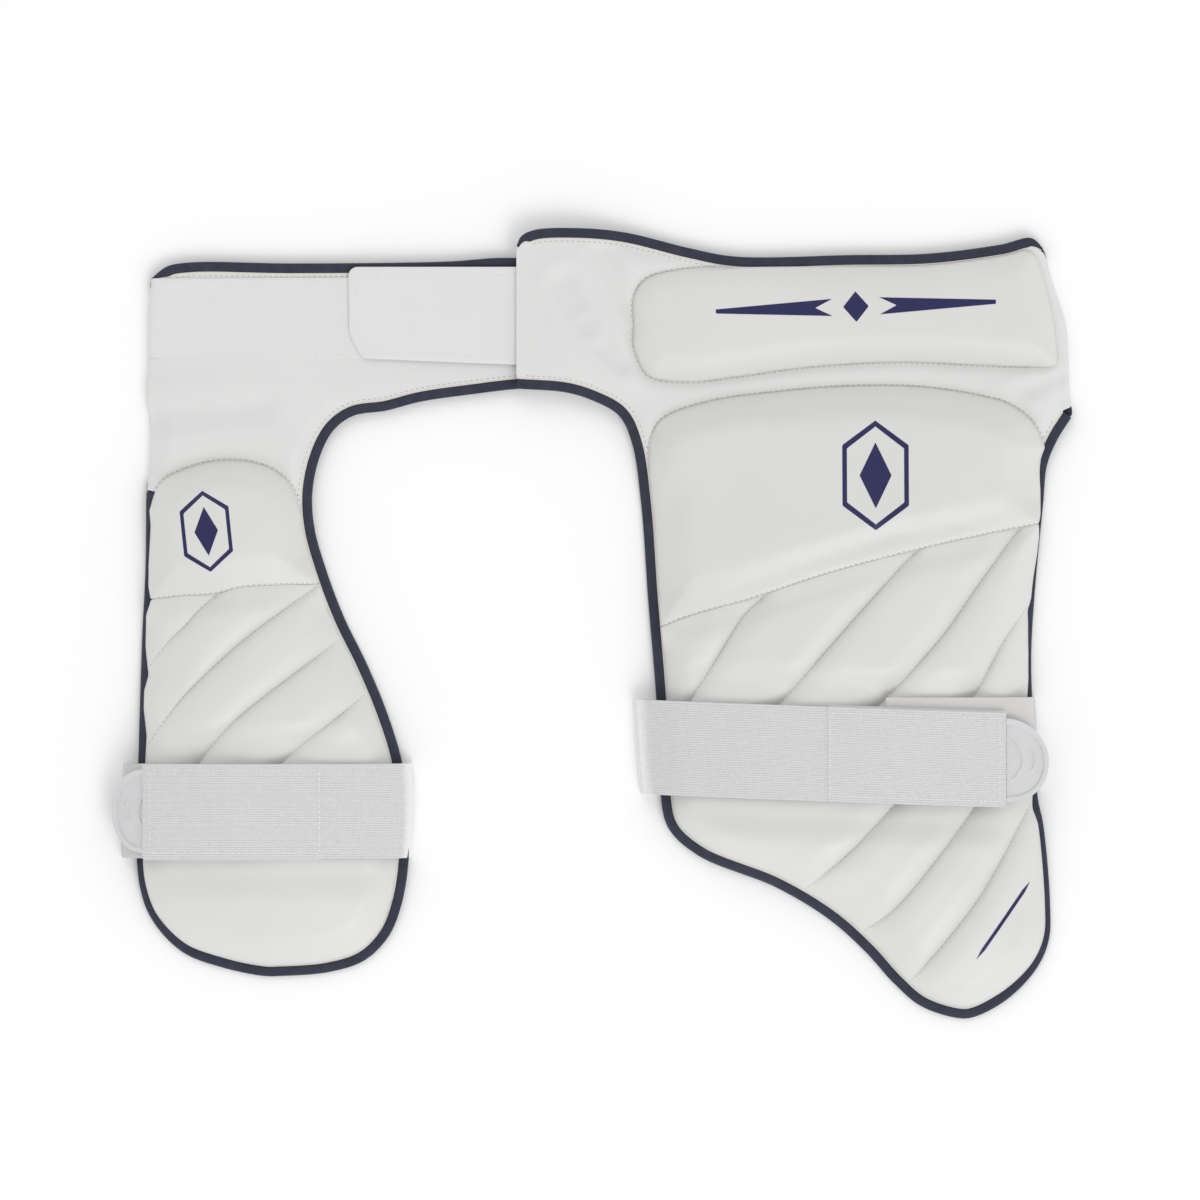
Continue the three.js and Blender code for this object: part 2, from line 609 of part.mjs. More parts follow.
const INNER_RIBS = [
  rail(false, [[0.6, 0.363], [0.63, 0.378]]),
  rail(true, [[0.365, 0.351], [0.427, 0.376], [0.481, 0.402], [0.554, 0.433], [0.627, 0.474]]),
  rail(true, [[-0.02, 0.336], [0.096, 0.373], [0.277, 0.434], [0.473, 0.516], [0.538, 0.549], [0.63, 0.606]]),
  rail(false, [[-0.07, 0.375], [0.15, 0.46], [0.4, 0.565], [0.66, 0.716]]),
  rail(true, [[-0.115, 0.424], [0.058, 0.482], [0.223, 0.538], [0.327, 0.579], [0.427, 0.634],
    [0.53, 0.718]]),
  rail(true, [[-0.22, 0.514], [-0.112, 0.554], [0.058, 0.613], [0.196, 0.675], [0.288, 0.719]]),
  rail(false, [[-0.33, 0.68], [-0.31, 0.719]]),
];
const INNER_TOE = [
  rail(false, [[-0.34, 0.728], [-0.345, 0.8], [-0.31, 0.89], [-0.26, 0.93]]),
  rail(false, [[-0.1, 0.728], [-0.1, 0.9], [-0.09, 0.972]]),
  rail(false, [[0.18, 0.728], [0.15, 0.9], [0.13, 0.98]]),
  rail(false, [[0.42, 0.728], [0.4, 0.88], [0.37, 0.965]]),
  rail(false, [[0.645, 0.728], [0.65, 0.8], [0.63, 0.87], [0.56, 0.925]]),
];

// Straps and loop strips. Each is sewn behind the guard, turns round its side and lies over the pads.

const BED_MARGIN = 1.9; // how far outside the pads' edge a strap already keeps clear of them

// Top of the pads and the binding where a strap lies
function bed(guard, x, y) {
  const left = xAt(guard.neckPads, y);
  const right = xAt(guard.hipPads, y);
  const inside = Math.min(x - left, right - x);
  const level = ground(guard, x, y);
  if (inside < -BED_MARGIN) return level + BINDING_THICK + STRAP_CLEAR;
  const crown = bulge(inside + BED_MARGIN, PAD_EDGE_ROUND);
  const full = guard.bedThick * (1 - STRAP_PRESS) * mix(PAD_EDGE_SHARE, 1, crown);
  return level + PAD_LOW + full + STRAP_CLEAR;
}

// Upper hull of points with rising x: how a taut strip lies over them
function taut(points) {
  const hull = [];
  for (const p of points) {
    while (hull.length > 1) {
      const a = hull[hull.length - 2];
      const b = hull[hull.length - 1];
      if ((b.x - a.x) * (p.z - a.z) < (b.z - a.z) * (p.x - a.x)) break;
      hull.pop();
    }
    hull.push(p);
  }
  return hull;
}
function heightOn(hull, x) {
  const i = Math.max(1, hull.findIndex((p) => p.x >= x));
  const a = hull[i - 1];
  const b = hull[i];
  return mix(a.z, b.z, clamp01((x - a.x) / (b.x - a.x)));
}

const RUN_STEPS = 17; // along a strip's front
const HULL_STEPS = 90;
const BACK_STEPS = 4; // along its sewn end, which comes down to the floor in the last of them
const STEEP_SHARE = 0.8; // of its thickness, from what lies under it to its middle where it runs steeply
const TURN_SHARE = 0.9; // radius of the fold as a share of the strip's thickness

// How a strip lies in front at plan height y, from its turn round the guard's side to its front end
function frontHull({ fold, inward, front, thick, surface, y }) {
  const turn = thick * TURN_SHARE;
  const start = fold + inward * (turn + thick / 2);
  const over = closeAtEnds(HULL_STEPS).map((t) => {
    const x = mix(start, front, t);
    return vec(x * inward, y, t > 0 ? surface(x, y) + thick * STEEP_SHARE : thick / 2 + 2 * turn);
  });
  return { turn, start, hull: taut(over) };
}

// A strip's middle line at plan height y, from its sewn end to its front end
function stripLine(piece) {
  const { guard, fold, inward, front, thick, y } = piece;
  const { turn, start, hull } = frontHull(piece);
  const backHeight = (x) => Math.max(ground(guard, x, y) - CLEAR, thick + CLEAR) - thick / 2;
  const back = steps(BACK_STEPS).map((t, i) => {
    const x = mix(fold + inward * STRAP_SEWN, fold + inward * thick, t);
    return vec(x, y, i < BACK_STEPS - 1 ? backHeight(x) : thick / 2);
  });
  const bend = [-50, 0, 50].map((degrees) => {
    const angle = THREE.MathUtils.degToRad(degrees);
    return vec(start - inward * turn * Math.cos(angle), y, thick / 2 + turn + turn * Math.sin(angle));
  });
  const run = closeAtEnds(RUN_STEPS).map((t) => mix(start, front, t));
  return [...back, ...bend, ...run.map((x) => vec(x, y, heightOn(hull, x * inward)))];
}

// A strip of even thickness on its middle lines, one for each place across it
function strip(lines, thick, side) {
  const shifted = (sign) => lines.map((points) => points.map((p, i) => {
    const a = points[Math.max(0, i - 1)];
    const b = points[Math.min(points.length - 1, i + 1)];
    const normal = vec(a.z - b.z, 0, b.x - a.x).normalize();
    return p.clone().addScaledVector(normal, (sign * thick) / 2);
  }));
  return wall(shifted(1), shifted(-1), side);
}

const ACROSS_STRIP = [-0.5, 0, 0.5];
const ACROSS_TAB = [-0.5, -0.25, 0, 0.25, 0.5];
const hipAt = (guard, y) => xAt(guard.hipEdge, y);
const neckAt = (guard, y) => xAt(guard.neckEdge, y);
const tabTip = (guard) => hipAt(guard, -guard.strapDrop) + guard.tabPast;
const strapEnd = (guard) => tabTip(guard) - guard.tabLength;
const patchFold = (guard, y) => hipAt(guard, y) + guard.patchOverhang;
const patchMiddle = (guard) => strapMiddle(guard, strapEnd(guard)) + guard.patchLift;

function patchPiece(guard, y) {
  return {
    guard,
    fold: patchFold(guard, y),
    inward: -1,
    front: patchFold(guard, y) - guard.patchLength,
    thick: PATCH_THICK,
    surface: (x, py) => bed(guard, x, py),
    y,
  };
}

function loopPatch(guard) {
  const lines = ACROSS_STRIP.map((share) =>
    stripLine(patchPiece(guard, patchMiddle(guard) - share * STRAP_WIDTH)),
  );
  return strip(lines, PATCH_THICK, guard.side);
}

// Top of the loop strip where it lies, or of the pads beyond it
const patchHulls = new Map();
function overPatch(guard, x, y) {
  const piece = patchPiece(guard, y);
  if (x < piece.front) return bed(guard, x, y);
  const key = `${guard.side} ${y.toFixed(1)}`;
  if (!patchHulls.has(key)) patchHulls.set(key, frontHull(piece).hull);
  return heightOn(patchHulls.get(key), -x) + PATCH_THICK / 2 + 3 * CLEAR;
}

function strap(guard) {
  const lines = ACROSS_STRIP.map((share) => {
    const y = -guard.strapDrop - share * STRAP_WIDTH;
    const path = stripLine({
      guard,
      fold: neckAt(guard, y) - guard.strapOverhang + share * guard.foldSlant,
      inward: 1,
      front: strapEnd(guard),
      thick: STRAP_THICK,
      surface: (x, py) => overPatch(guard, x, py + strapMiddle(guard, x) + guard.strapDrop),
      y,
    });
    return path.map((p) => vec(p.x, y + strapMiddle(guard, p.x) + guard.strapDrop, p.z));
  });
  return strip(lines, STRAP_THICK, guard.side);
}

// The moulded tab goes on from the strap's end over the loop strip
const TAB_STEPS = [0, 0.2, 0.4, 0.6, 0.75, 0.87, 0.95, 0.99];
const TAB_ROUND = 2.5; // power of its rounded outline
function pullTab(guard) {
  const start = strapEnd(guard) + 2 * CLEAR;
  const tip = tabTip(guard);
  const middle = strapMiddle(guard, start);
  const beforeFold = (x, y) => Math.min(x, patchFold(guard, y) - 2 * PATCH_THICK);
  const surface = (x, y) => overPatch(guard, beforeFold(x, y), y) + CLEAR;
  const lines = ACROSS_TAB.map((share) => TAB_STEPS.map((t) => {
    const half = (1 - t ** TAB_ROUND) ** (1 / TAB_ROUND);
    const x = mix(start, tip, t);
    const y = middle - share * TAB_WIDTH * half;
    return vec(x, y, 0);
  }));
  const heights = TAB_STEPS.map((t) => {
    const x = mix(start, tip, t);
    const highest = Math.max(...ACROSS_TAB.map((share) => surface(x, middle - share * TAB_WIDTH)));
    return vec(x, 0, highest + TAB_THICK / 2);
  });
  const hull = taut(heights);
  const raised = lines.map((points) => points.map((p) => vec(p.x, p.y, heightOn(hull, p.x))));
  return strip(raised, TAB_THICK, guard.side);
}

// Waist closure. The loop panel's upper and lower edges are shares of the waist.
const LOOP_PANEL_TOP = 0.885;
const LOOP_PANEL_BOTTOM = 0.235;
const PANEL_STEPS = 8;
const CORNER_STEPS = [0, 0.12, 0.4, 0.7, 1];

function flatPiece(grid, low, thick, side) {
  const at = (z) => grid.map((row) => row.map((p) => vec(p.x, p.y, z)));
  return wall(at(low + thick), at(low), side);
}

function loopPanel() {
  const rows = steps(3).map((t) => mix(LOOP_PANEL_TOP, LOOP_PANEL_BOTTOM, t) * INNER_WAIST);
  const from = INNER.wingEnd + LOOP_PANEL_UNDER;
  const to = Math.min(...rows.map((y) => xAt(INNER.turnLine, y))) - HIP_INSET;
  const grid = rows.map((y) => steps(PANEL_STEPS).map((t) => vec(mix(from, to, t), y)));
  return flatPiece(grid, FRONT_LEVEL + LOOP_PANEL_LOW, LOOP_PANEL_THICK, INNER.side);
}

function hookTab() {
  const from = OUTER.wingEnd - HOOK_TAB_REACH;
  const to = OUTER.wingEnd + HOOK_TAB_SEWN;
  const corner = CORNER_STEPS.map((t) => from + t * HOOK_TAB_CORNER);
  const rest = steps(PANEL_STEPS).slice(1).map((t) => mix(from + HOOK_TAB_CORNER, to, t));
  const cut = (x) => {
    const u = clamp01((x - from) / HOOK_TAB_CORNER);
    return HOOK_TAB_CORNER * (1 - Math.sqrt(1 - (1 - u) ** 2));
  };
  const grid = steps(4).map((t) => [...corner, ...rest].map((x) => {
    const top = HOOK_TAB_ABOVE + HOOK_TAB_HEIGHT - cut(x);
    return vec(x, mix(top, HOOK_TAB_ABOVE + cut(x), t));
  }));
  return flatPiece(grid, FRONT_LEVEL + HOOK_TAB_LOW, HOOK_TAB_THICK, OUTER.side);
}

// Back band: from the left hip to the right behind both guards, its ends turned round to the fronts.
// share runs from hip to hip, top and low are shares of the inner guard's waist.
const BAND_LINE = table(["share", "top", "low"], [
  [0.06, 0.86, -0.58], [0.16, 0.82, -0.09], [0.24, 0.82, 0.06], [0.53, 0.82, 0.06],
  [0.75, 0.86, -0.02], [0.86, 0.94, -0.1], [0.94, 1, -0.16],
]);

const leftHip = (y) => -xAt(INNER.turnLine, y);
const rightHip = (y) => xAt(OUTER.turnLine, y);
const turnEnds = (guard) => [guard.turnLine[0].y, guard.turnLine[guard.turnLine.length - 1].y];

function bandEdges() {
  const [leftTop, leftLow] = turnEnds(INNER);
  const [rightTop, rightLow] = turnEnds(OUTER);
  const curve = (first, column, last) => {
    const between = BAND_LINE.map((row) => vec(row.share, row[column] * INNER_WAIST));
    return smoothLine([vec(0, first), ...between, vec(1, last)], BAND_POINTS);
  };
  return { top: curve(leftTop, "top", rightTop), low: curve(leftLow, "low", rightLow) };
}

function yAt(curve, share) {
  const i = Math.max(1, curve.findIndex((p) => p.x >= share));
  const [a, b] = [curve[i - 1], curve[i]];
  return mix(a.y, b.y, clamp01((share - a.x) / (b.x - a.x)));
}

const TURN_ANGLES = [90, 60, 30, 0, -30, -60];
const BAND_STEPS = 13;

// Stations round the band: the front lip, the turn at the hip and the run behind
function bandStations(backMiddle, frontMiddle) {
  const radius = (frontMiddle - backMiddle) / 2;
  const centre = (frontMiddle + backMiddle) / 2;
  const end = (hip) => {
    const turn = TURN_ANGLES.map((degrees) => {
      const angle = THREE.MathUtils.degToRad(degrees);
      const out = Math.cos(angle);
      const up = Math.sin(angle);
      return { hip, inward: HIP_TURN - radius * out, z: centre + radius * up, out, up };
    });
    return [{ hip, inward: HIP_TURN + HIP_LIP, z: frontMiddle, out: 0, up: 1 }, ...turn];
  };
  const flat = steps(BAND_STEPS).map((share) => ({ share, z: backMiddle, out: 0, up: -1 }));
  return [...end(0), ...flat, ...end(1).reverse()];
}

function bandPoint(station, y, shift) {
  const left = leftHip(y);
  const right = rightHip(y);
  const z = station.z + shift * station.up;
  if (station.share !== undefined) {
    return vec(mix(left + HIP_TURN, right - HIP_TURN, station.share), y, z);
  }
  const inward = station.inward - shift * station.out;
  return vec(station.hip ? right - inward : left + inward, y, z);
}
const shareOf = (station) => station.share ?? station.hip;

function backBand() {
  const stations = bandStations(SHEET / 2, FRONT_LEVEL + SHEET_LOW + SHEET / 2);
  const { top, low } = bandEdges();
  const grid = (shift) => steps(6).map((t) => stations.map((station) => {
    const y = mix(yAt(top, shareOf(station)) - EDGE_INSET, yAt(low, shareOf(station)) + EDGE_INSET, t);
    return bandPoint(station, y, shift);
  }));
  return wall(grid(SHEET / 2), grid(-SHEET / 2), 1);
}

function bandBinding(edgeName, outward) {
  const stations = bandStations(BINDING_THICK / 2, FRONT_LEVEL + BINDING_THICK / 2);
  const curve = bandEdges()[edgeName];
  const rings = stations.map((station) => BINDING_SECTION.map(({ out, up }) => {
    const y = yAt(curve, shareOf(station)) - outward * BINDING_WIDTH * (1 - out);
    return bandPoint(station, y, (up - 0.5) * BINDING_THICK);
  }));
  return bar(rings, 1);
}

const group = new THREE.Group();
function add(name, shape, material) {
  const mesh = new THREE.Mesh(shape, material);
  mesh.name = name;
  group.add(mesh);
}

const PADS = table(["name", "guard", "plan", "thick", "ribs"], [
  ["outer_hip_pad", OUTER, between(OUTER, HIP_PAD.top, HIP_PAD.low), HIP_PAD_THICK, []],
  ["outer_thigh_block", OUTER, between(OUTER, THIGH_BLOCK.top, THIGH_BLOCK.low), BLOCK_THICK, []],
  ["outer_ribbed_pad", OUTER, alongRails(OUTER, OUTER_RIBS), OUTER_RIB_THICK, ribsOf(OUTER_RIBS)],
  ["outer_lower_pad", OUTER, alongRails(OUTER, OUTER_TOE), OUTER_TOE_THICK, ribsOf(OUTER_TOE)],
  ["inner_upper_block", INNER, between(INNER, INNER_BLOCK.top, INNER_BLOCK.low), INNER_BLOCK_THICK, []],
  ["inner_ribbed_pad", INNER, alongRails(INNER, INNER_RIBS), INNER_RIB_THICK, ribsOf(INNER_RIBS)],
  ["inner_lower_pad", INNER, alongRails(INNER, INNER_TOE), INNER_TOE_THICK, []],
]);

for (const { name, guard, plan, thick, ribs } of PADS) add(name, pad(guard, plan, thick, ribs), LEATHER);
for (const [name, guard] of [["outer", OUTER], ["inner", INNER]]) {
  add(`${name}_base`, base(guard), FABRIC);
  add(`${name}_top_binding`, topBinding(guard), BINDING);
  add(`${name}_edge_binding`, edgeBinding(guard), BINDING);
  add(`${name}_strap`, strap(guard), ELASTIC);
  add(`${name}_pull_tab`, pullTab(guard), MOULDED);
  add(`${name}_loop_patch`, loopPatch(guard), LOOP);
}
add("waist_loop_panel", loopPanel(), LOOP);
add("waist_hook_tab", hookTab(), FABRIC);
add("back_band", backBand(), FABRIC);
add("back_band_top_binding", bandBinding("top", 1), BINDING);
add("back_band_bottom_binding", bandBinding("low", -1), BINDING);

// The origin lies on the floor below the middle of the whole set
const whole = new THREE.Box3().setFromObject(group);
const middle = whole.getCenter(vec(0, 0));
group.position.set(-middle.x, -middle.y, -whole.min.z);

export default group;
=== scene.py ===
"""Dresses the cricket thigh guard set: pads, bindings, straps, moulded tabs and stitching."""
import json
import math
from functools import partial
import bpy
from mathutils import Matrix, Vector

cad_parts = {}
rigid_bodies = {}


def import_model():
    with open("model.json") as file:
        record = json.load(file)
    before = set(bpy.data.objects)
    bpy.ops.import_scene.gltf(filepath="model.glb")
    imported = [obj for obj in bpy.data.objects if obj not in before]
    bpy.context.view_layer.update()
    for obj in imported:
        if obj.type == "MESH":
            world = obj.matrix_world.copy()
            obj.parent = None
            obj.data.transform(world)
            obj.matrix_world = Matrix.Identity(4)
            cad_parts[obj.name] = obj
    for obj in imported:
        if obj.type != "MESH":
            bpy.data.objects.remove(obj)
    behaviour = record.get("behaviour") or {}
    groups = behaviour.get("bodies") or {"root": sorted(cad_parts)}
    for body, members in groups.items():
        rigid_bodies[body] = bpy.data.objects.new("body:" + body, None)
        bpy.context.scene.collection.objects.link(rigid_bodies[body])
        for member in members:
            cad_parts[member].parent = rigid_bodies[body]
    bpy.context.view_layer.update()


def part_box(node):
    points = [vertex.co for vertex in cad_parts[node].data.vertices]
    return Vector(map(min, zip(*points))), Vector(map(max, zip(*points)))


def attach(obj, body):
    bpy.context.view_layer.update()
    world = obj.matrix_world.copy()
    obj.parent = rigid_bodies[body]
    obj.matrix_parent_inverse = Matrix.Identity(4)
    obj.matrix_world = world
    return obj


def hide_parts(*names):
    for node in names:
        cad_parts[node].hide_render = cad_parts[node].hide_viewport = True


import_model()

from types import SimpleNamespace

import bpy
import numpy as np
from mathutils import Vector
from mathutils.bvhtree import BVHTree
from mathutils.geometry import delaunay_2d_cdt
from mathutils.kdtree import KDTree

bl_info = {
    "name": "Cricket thigh guard set",
    "version": (1, 0, 0),
    "blender": (4, 5, 0),
    "location": "View3D > Sidebar > Thigh guards",
    "description": "Builds the soft pieces of a cricket thigh guard set around its frame",
    "category": "Object",
}

MM = 0.001

# Sizes that the frame's solids keep too, in millimetres
CROTCH_WIDTH = 174  # between the necks of the two guards
SHEET = 2.2  # padded fabric of the bases and the back band
BINDING_WIDTH = 5.4
BINDING_THICK = 2.8
CLEAR = 0.3  # between pieces that touch
PAD_CLEAR = 0.5
STRAP_CLEAR = 0.7
PAD_EDGE_ROUND = 13
PAD_EDGE_SHARE = 0.26
STRAP_WIDTH = 50
STRAP_THICK = 1.5
STRAP_PRESS = 0.2  # share of the pads' height that a strap presses flat
PRESS_FADE = 15
LIFT_FADE = 55
STRAP_SEWN = 34  # length sewn to the back of the guard
PATCH_THICK = 1.3
TAB_WIDTH = 44
TAB_THICK = 1.8
LOOP_PANEL_THICK = 0.8
LOOP_PANEL_UNDER = 7
HOOK_TAB_THICK = 1.4
HOOK_TAB_HEIGHT = 50.5
HOOK_TAB_ABOVE = 14
HOOK_TAB_CORNER = 5
HOOK_TAB_REACH = 89
HOOK_TAB_SEWN = 22
SETTLE_LENGTH = 60
ARCH_RISES = (0.02, 0.3)  # shares of the drop between which a guard arches up
ARCH_FALLS = 0.35  # share of the drop from which the arch sinks again

# Fabric and tapes of the scene alone, in millimetres or as shares
TURN_FADE = (6, 1)  # the turned hip ends over this length above the turn's lower end
FOLD_SHOULDER = 0.7  # height of the swell beside a fold, as a share of its depth
FOLD_FADE = 7
RIDGE_FADE = 9
RIDGE_FROM_HIP = (1, 12)
TAPE_STEP = 1.2
TAPE_END_SHARE = 0.3
TAPE_END_FADE = 9
PIPING_RADIUS = 0.36

# Pads
OUTLINE_STEP = 1.2
NEAREST_STEP = 0.3
POINT_FREE = 0.55  # share of the spacing that a mesh keeps clear beside its outline
SNAP_POINTS = 12  # points over which a seam's end is drawn onto the pads' line
SEAM_GAP = 0.8
COVER_INSET = 0.06
PAD_UNDER = 0.2
EDGE_HEIGHT = 0.03
EDGE_POWER = 2.0
SEAM_REACH = 16
SEAM_ROUND = 11
RIB_POWER = 2.2
CREASE_SHARE = 0.07
CREASE_REACH = 1.1

# Cloth simulation that gives the pads' crowns
REMESH_SIZE = 4.5
CLOTH_PRESSURE = 4
CLOTH_QUALITY = 5
SIMULATION_FRAMES = 20
CROWN_STEP = 4.0
CROWN_CAP = 2.6
CROWN_FADE = 14

# Straps and tabs. A strip's points lie behind the base, round its fold and on the front.
BED_MARGIN = 1.9
SMOOTH_FOLD = (7, 13)
DOUBLE_LAYER = 0.9
DOUBLE_EDGE = 0.4
DOUBLE_POINTS = (-0.7, -0.25, 0.25, 0.7)  # points of the strap on its step to two layers
HOOK_STRIP_THICK = 0.6
STRIP_TURN = 0.9  # radius of a strip's fold, in thicknesses
STRIP_REST = 0.8  # its middle over what it lies on, in thicknesses
HULL_POINTS = 90
BACK_POINTS = 9
BEND_POINTS = 7
FRONT_POINTS = 70
STRAP_FRONT_FROM = BACK_POINTS + BEND_POINTS
ACROSS = np.linspace(-0.5, 0.5, 13)
TAB_ARCS = ((7.3, 7), (13.9, 12))  # distance from the tip, and reach from the middle
TAB_ARC_BEND = 0.05
TAB_ARC_HALF = 0.7
TAB_ARC_END = 3
TAB_ARC_CLEAR = (3.2, 4.2)
TAB_RIM = (2.2, 3.0)

# Waist
LOOP_PANEL_TOP = 0.885  # shares of the inner guard's waist
LOOP_PANEL_BOTTOM = 0.235
NAP_SEED = 7
NAP_HEIGHT = 0.012
PANEL_EDGE = 1.5
TAB_EDGE = 1.2
DRAWN_IN = 0.12  # how deep the hook tab's stitches draw its cover in
DRAWN_HALF = 0.7
HOOK_TAB_SLANT = 0.8
HOOK_TAB_CUT = 5
HOOK_TAB_TAPER = 4.4
BAND_COLUMNS = 60
BAND_ROWS = 24

# Stitches and marks
TOP_STITCHES_OFF = 0.7
LOW_STITCHES_OFF = 0.6
TAPE_STITCH_INSET = BINDING_WIDTH + 1.7
STRAP_STITCH_INSET = 3.2
HOOK_TAB_STITCH_INSET = 4.2
PANEL_STITCH_INSET = 1.6
STITCH_LIFT = 0.05
MARK_LIFT = 0.12
MARK_STEP = 0.8
MARK_FILL = 1.2

RAY_HEIGHT = 0.2  # metres above the floor from which surfaces are felt

# Stage, in metres, and the camera's lens and sensor in millimetres
FLOOR_SIZE = 6
FLOOR_LEVEL = -0.0005
KEY_LIGHT_AT = (2.0, -3.8, 4.2)
FILL_LIGHT_AT = (-1.2, 3.8, 4.2)
LIGHT_SIZE = 3.2
LENS = 250
SENSOR_WIDTH = 36
VIEW_WIDTH = 0.636
VIEW_CENTRE = (0.0041, 0.0124)

# Levels, from the floor side of the sheets up
SHEET_LOW = 0.3
SHEET_TOP = SHEET_LOW + SHEET
PAD_LOW = max(SHEET_TOP, BINDING_THICK) + PAD_CLEAR
FRONT_LEVEL = BINDING_THICK + CLEAR
LOOP_PANEL_LOW = SHEET_TOP + CLEAR
HOOK_TAB_LOW = LOOP_PANEL_LOW + LOOP_PANEL_THICK + CLEAR
OVERLAP_LIFT = HOOK_TAB_LOW + HOOK_TAB_THICK + CLEAR - SHEET_LOW
STRAP_LIFT = STRAP_THICK + 2 * CLEAR - SHEET_LOW
EDGE_INSET = BINDING_WIDTH + CLEAR
HIP_TURN = (FRONT_LEVEL + SHEET_LOW + SHEET) / 2
FLAT_UNDER_STRAP = STRAP_WIDTH / 2 + 8 + CLEAR

ROLL = HIP_TURN + 0.15

# Where the frame's origin lies, from the hook tab's corner, whose place is known
TAB_LOW, TAB_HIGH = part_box("waist_hook_tab")


# Small tools on arrays

def clamp01(value):
    return np.clip(value, 0.0, 1.0)


def mix(a, b, t):
    return a + (b - a) * t


def ease(start, end, value):
    t = clamp01((value - start) / (end - start))
    return t * t * (3 - 2 * t)


def bulge(distance, reach):
    """A rounded rise from 0 to 1 over a reach."""
    left = 1 - clamp01(distance / reach)
    return np.sqrt(1 - left**3)


def close_at_ends(count):
    """Shares from 0 to 1 that lie closer together at both ends."""
    return 0.5 - 0.5 * np.cos(np.pi * np.linspace(0, 1, count + 1))


def smooth_line(points, step=1.0, count=None):
    """Evenly spaced points on a centripetal curve through the given ones."""
    p = np.array(points, float)
    p = np.vstack([2 * p[0] - p[1], p, 2 * p[-1] - p[-2]])
    dense = []
    for i in range(1, len(p) - 2):
        a, b, c, d = p[i - 1], p[i], p[i + 1], p[i + 2]
        ab, bc, cd = (max(np.linalg.norm(v) ** 0.5, 1e-4) for v in (b - a, c - b, d - c))
        m1 = ((b - a) / ab - (c - a) / (ab + bc) + (c - b) / bc) * bc
        m2 = ((c - b) / bc - (d - b) / (bc + cd) + (d - c) / cd) * bc
        t = np.linspace(0, 1, 40, endpoint=False)[:, None]
        dense.append(
            b + m1 * t + (3 * (c - b) - 2 * m1 - m2) * t**2 + (2 * (b - c) + m1 + m2) * t**3
        )
    return resampled(np.vstack(dense + [p[-2:-1]]), step, count)


def lengths_along(line):
    return np.concatenate([[0], np.cumsum(np.linalg.norm(np.diff(line, axis=0), axis=1))])


def length_of(line):
    return float(np.linalg.norm(np.diff(line, axis=0), axis=1).sum())


def closed(outline):
    return np.vstack([outline, outline[:1]])


def resampled(line, step=1.0, count=None):
    lengths = lengths_along(line)
    count = count or max(2, int(round(lengths[-1] / step)))
    at = np.linspace(0, lengths[-1], count + 1)
    return np.column_stack([np.interp(at, lengths, line[:, k]) for k in range(line.shape[1])])


def resampled_outline(outline, step=1.0):
    return resampled(closed(outline), step)[:-1]


def left_normals(line):
    ahead = np.vstack([line[1:], line[-1:]]) - np.vstack([line[:1], line[:-1]])
    normals = np.column_stack([-ahead[:, 1], ahead[:, 0]])
    return normals / np.maximum(np.linalg.norm(normals, axis=1, keepdims=True), 1e-9)


def moved(line, distance):
    """A line moved to its left."""
    return line + left_normals(line) * np.reshape(distance, (-1, 1))


def x_at(line, y):
    """Where a line that runs down stands at a height."""
    return np.interp(-np.asarray(y, float), -line[:, 1], line[:, 0])


def distance_to(line, points):
    """Distance of each point in plan to the nearest point of a line."""
    fine = resampled(np.asarray(line, float), NEAREST_STEP)
    tree = KDTree(len(fine))
    for i, (x, y) in enumerate(fine):
        tree.insert((x, y, 0), i)
    tree.balance()
    return np.array([tree.find((x, y, 0))[2] for x, y in points])


def inside(outline, points):
    """Which points lie inside a closed outline."""
    a = outline
    b = np.roll(outline, -1, axis=0)
    found = np.zeros(len(points), bool)
    for (ax, ay), (bx, by) in zip(a, b):
        if ay == by:
            continue
        crosses = (ay > points[:, 1]) != (by > points[:, 1])
        found ^= crosses & (points[:, 0] < (bx - ax) * (points[:, 1] - ay) / (by - ay) + ax)
    return found


# The two guards, each in its own frame: neck side left, hip side right, waist up.
# across and wing are shares of the guard's width and wing, drop and up of its drop and waist.

def rows(kind, *values):
    return [dict(zip(kind, pair)) for pair in values]


wing_drop = partial(rows, ("wing", "drop"))
wing_up = partial(rows, ("wing", "up"))
across_drop = partial(rows, ("across", "drop"))
across_up = partial(rows, ("across", "up"))


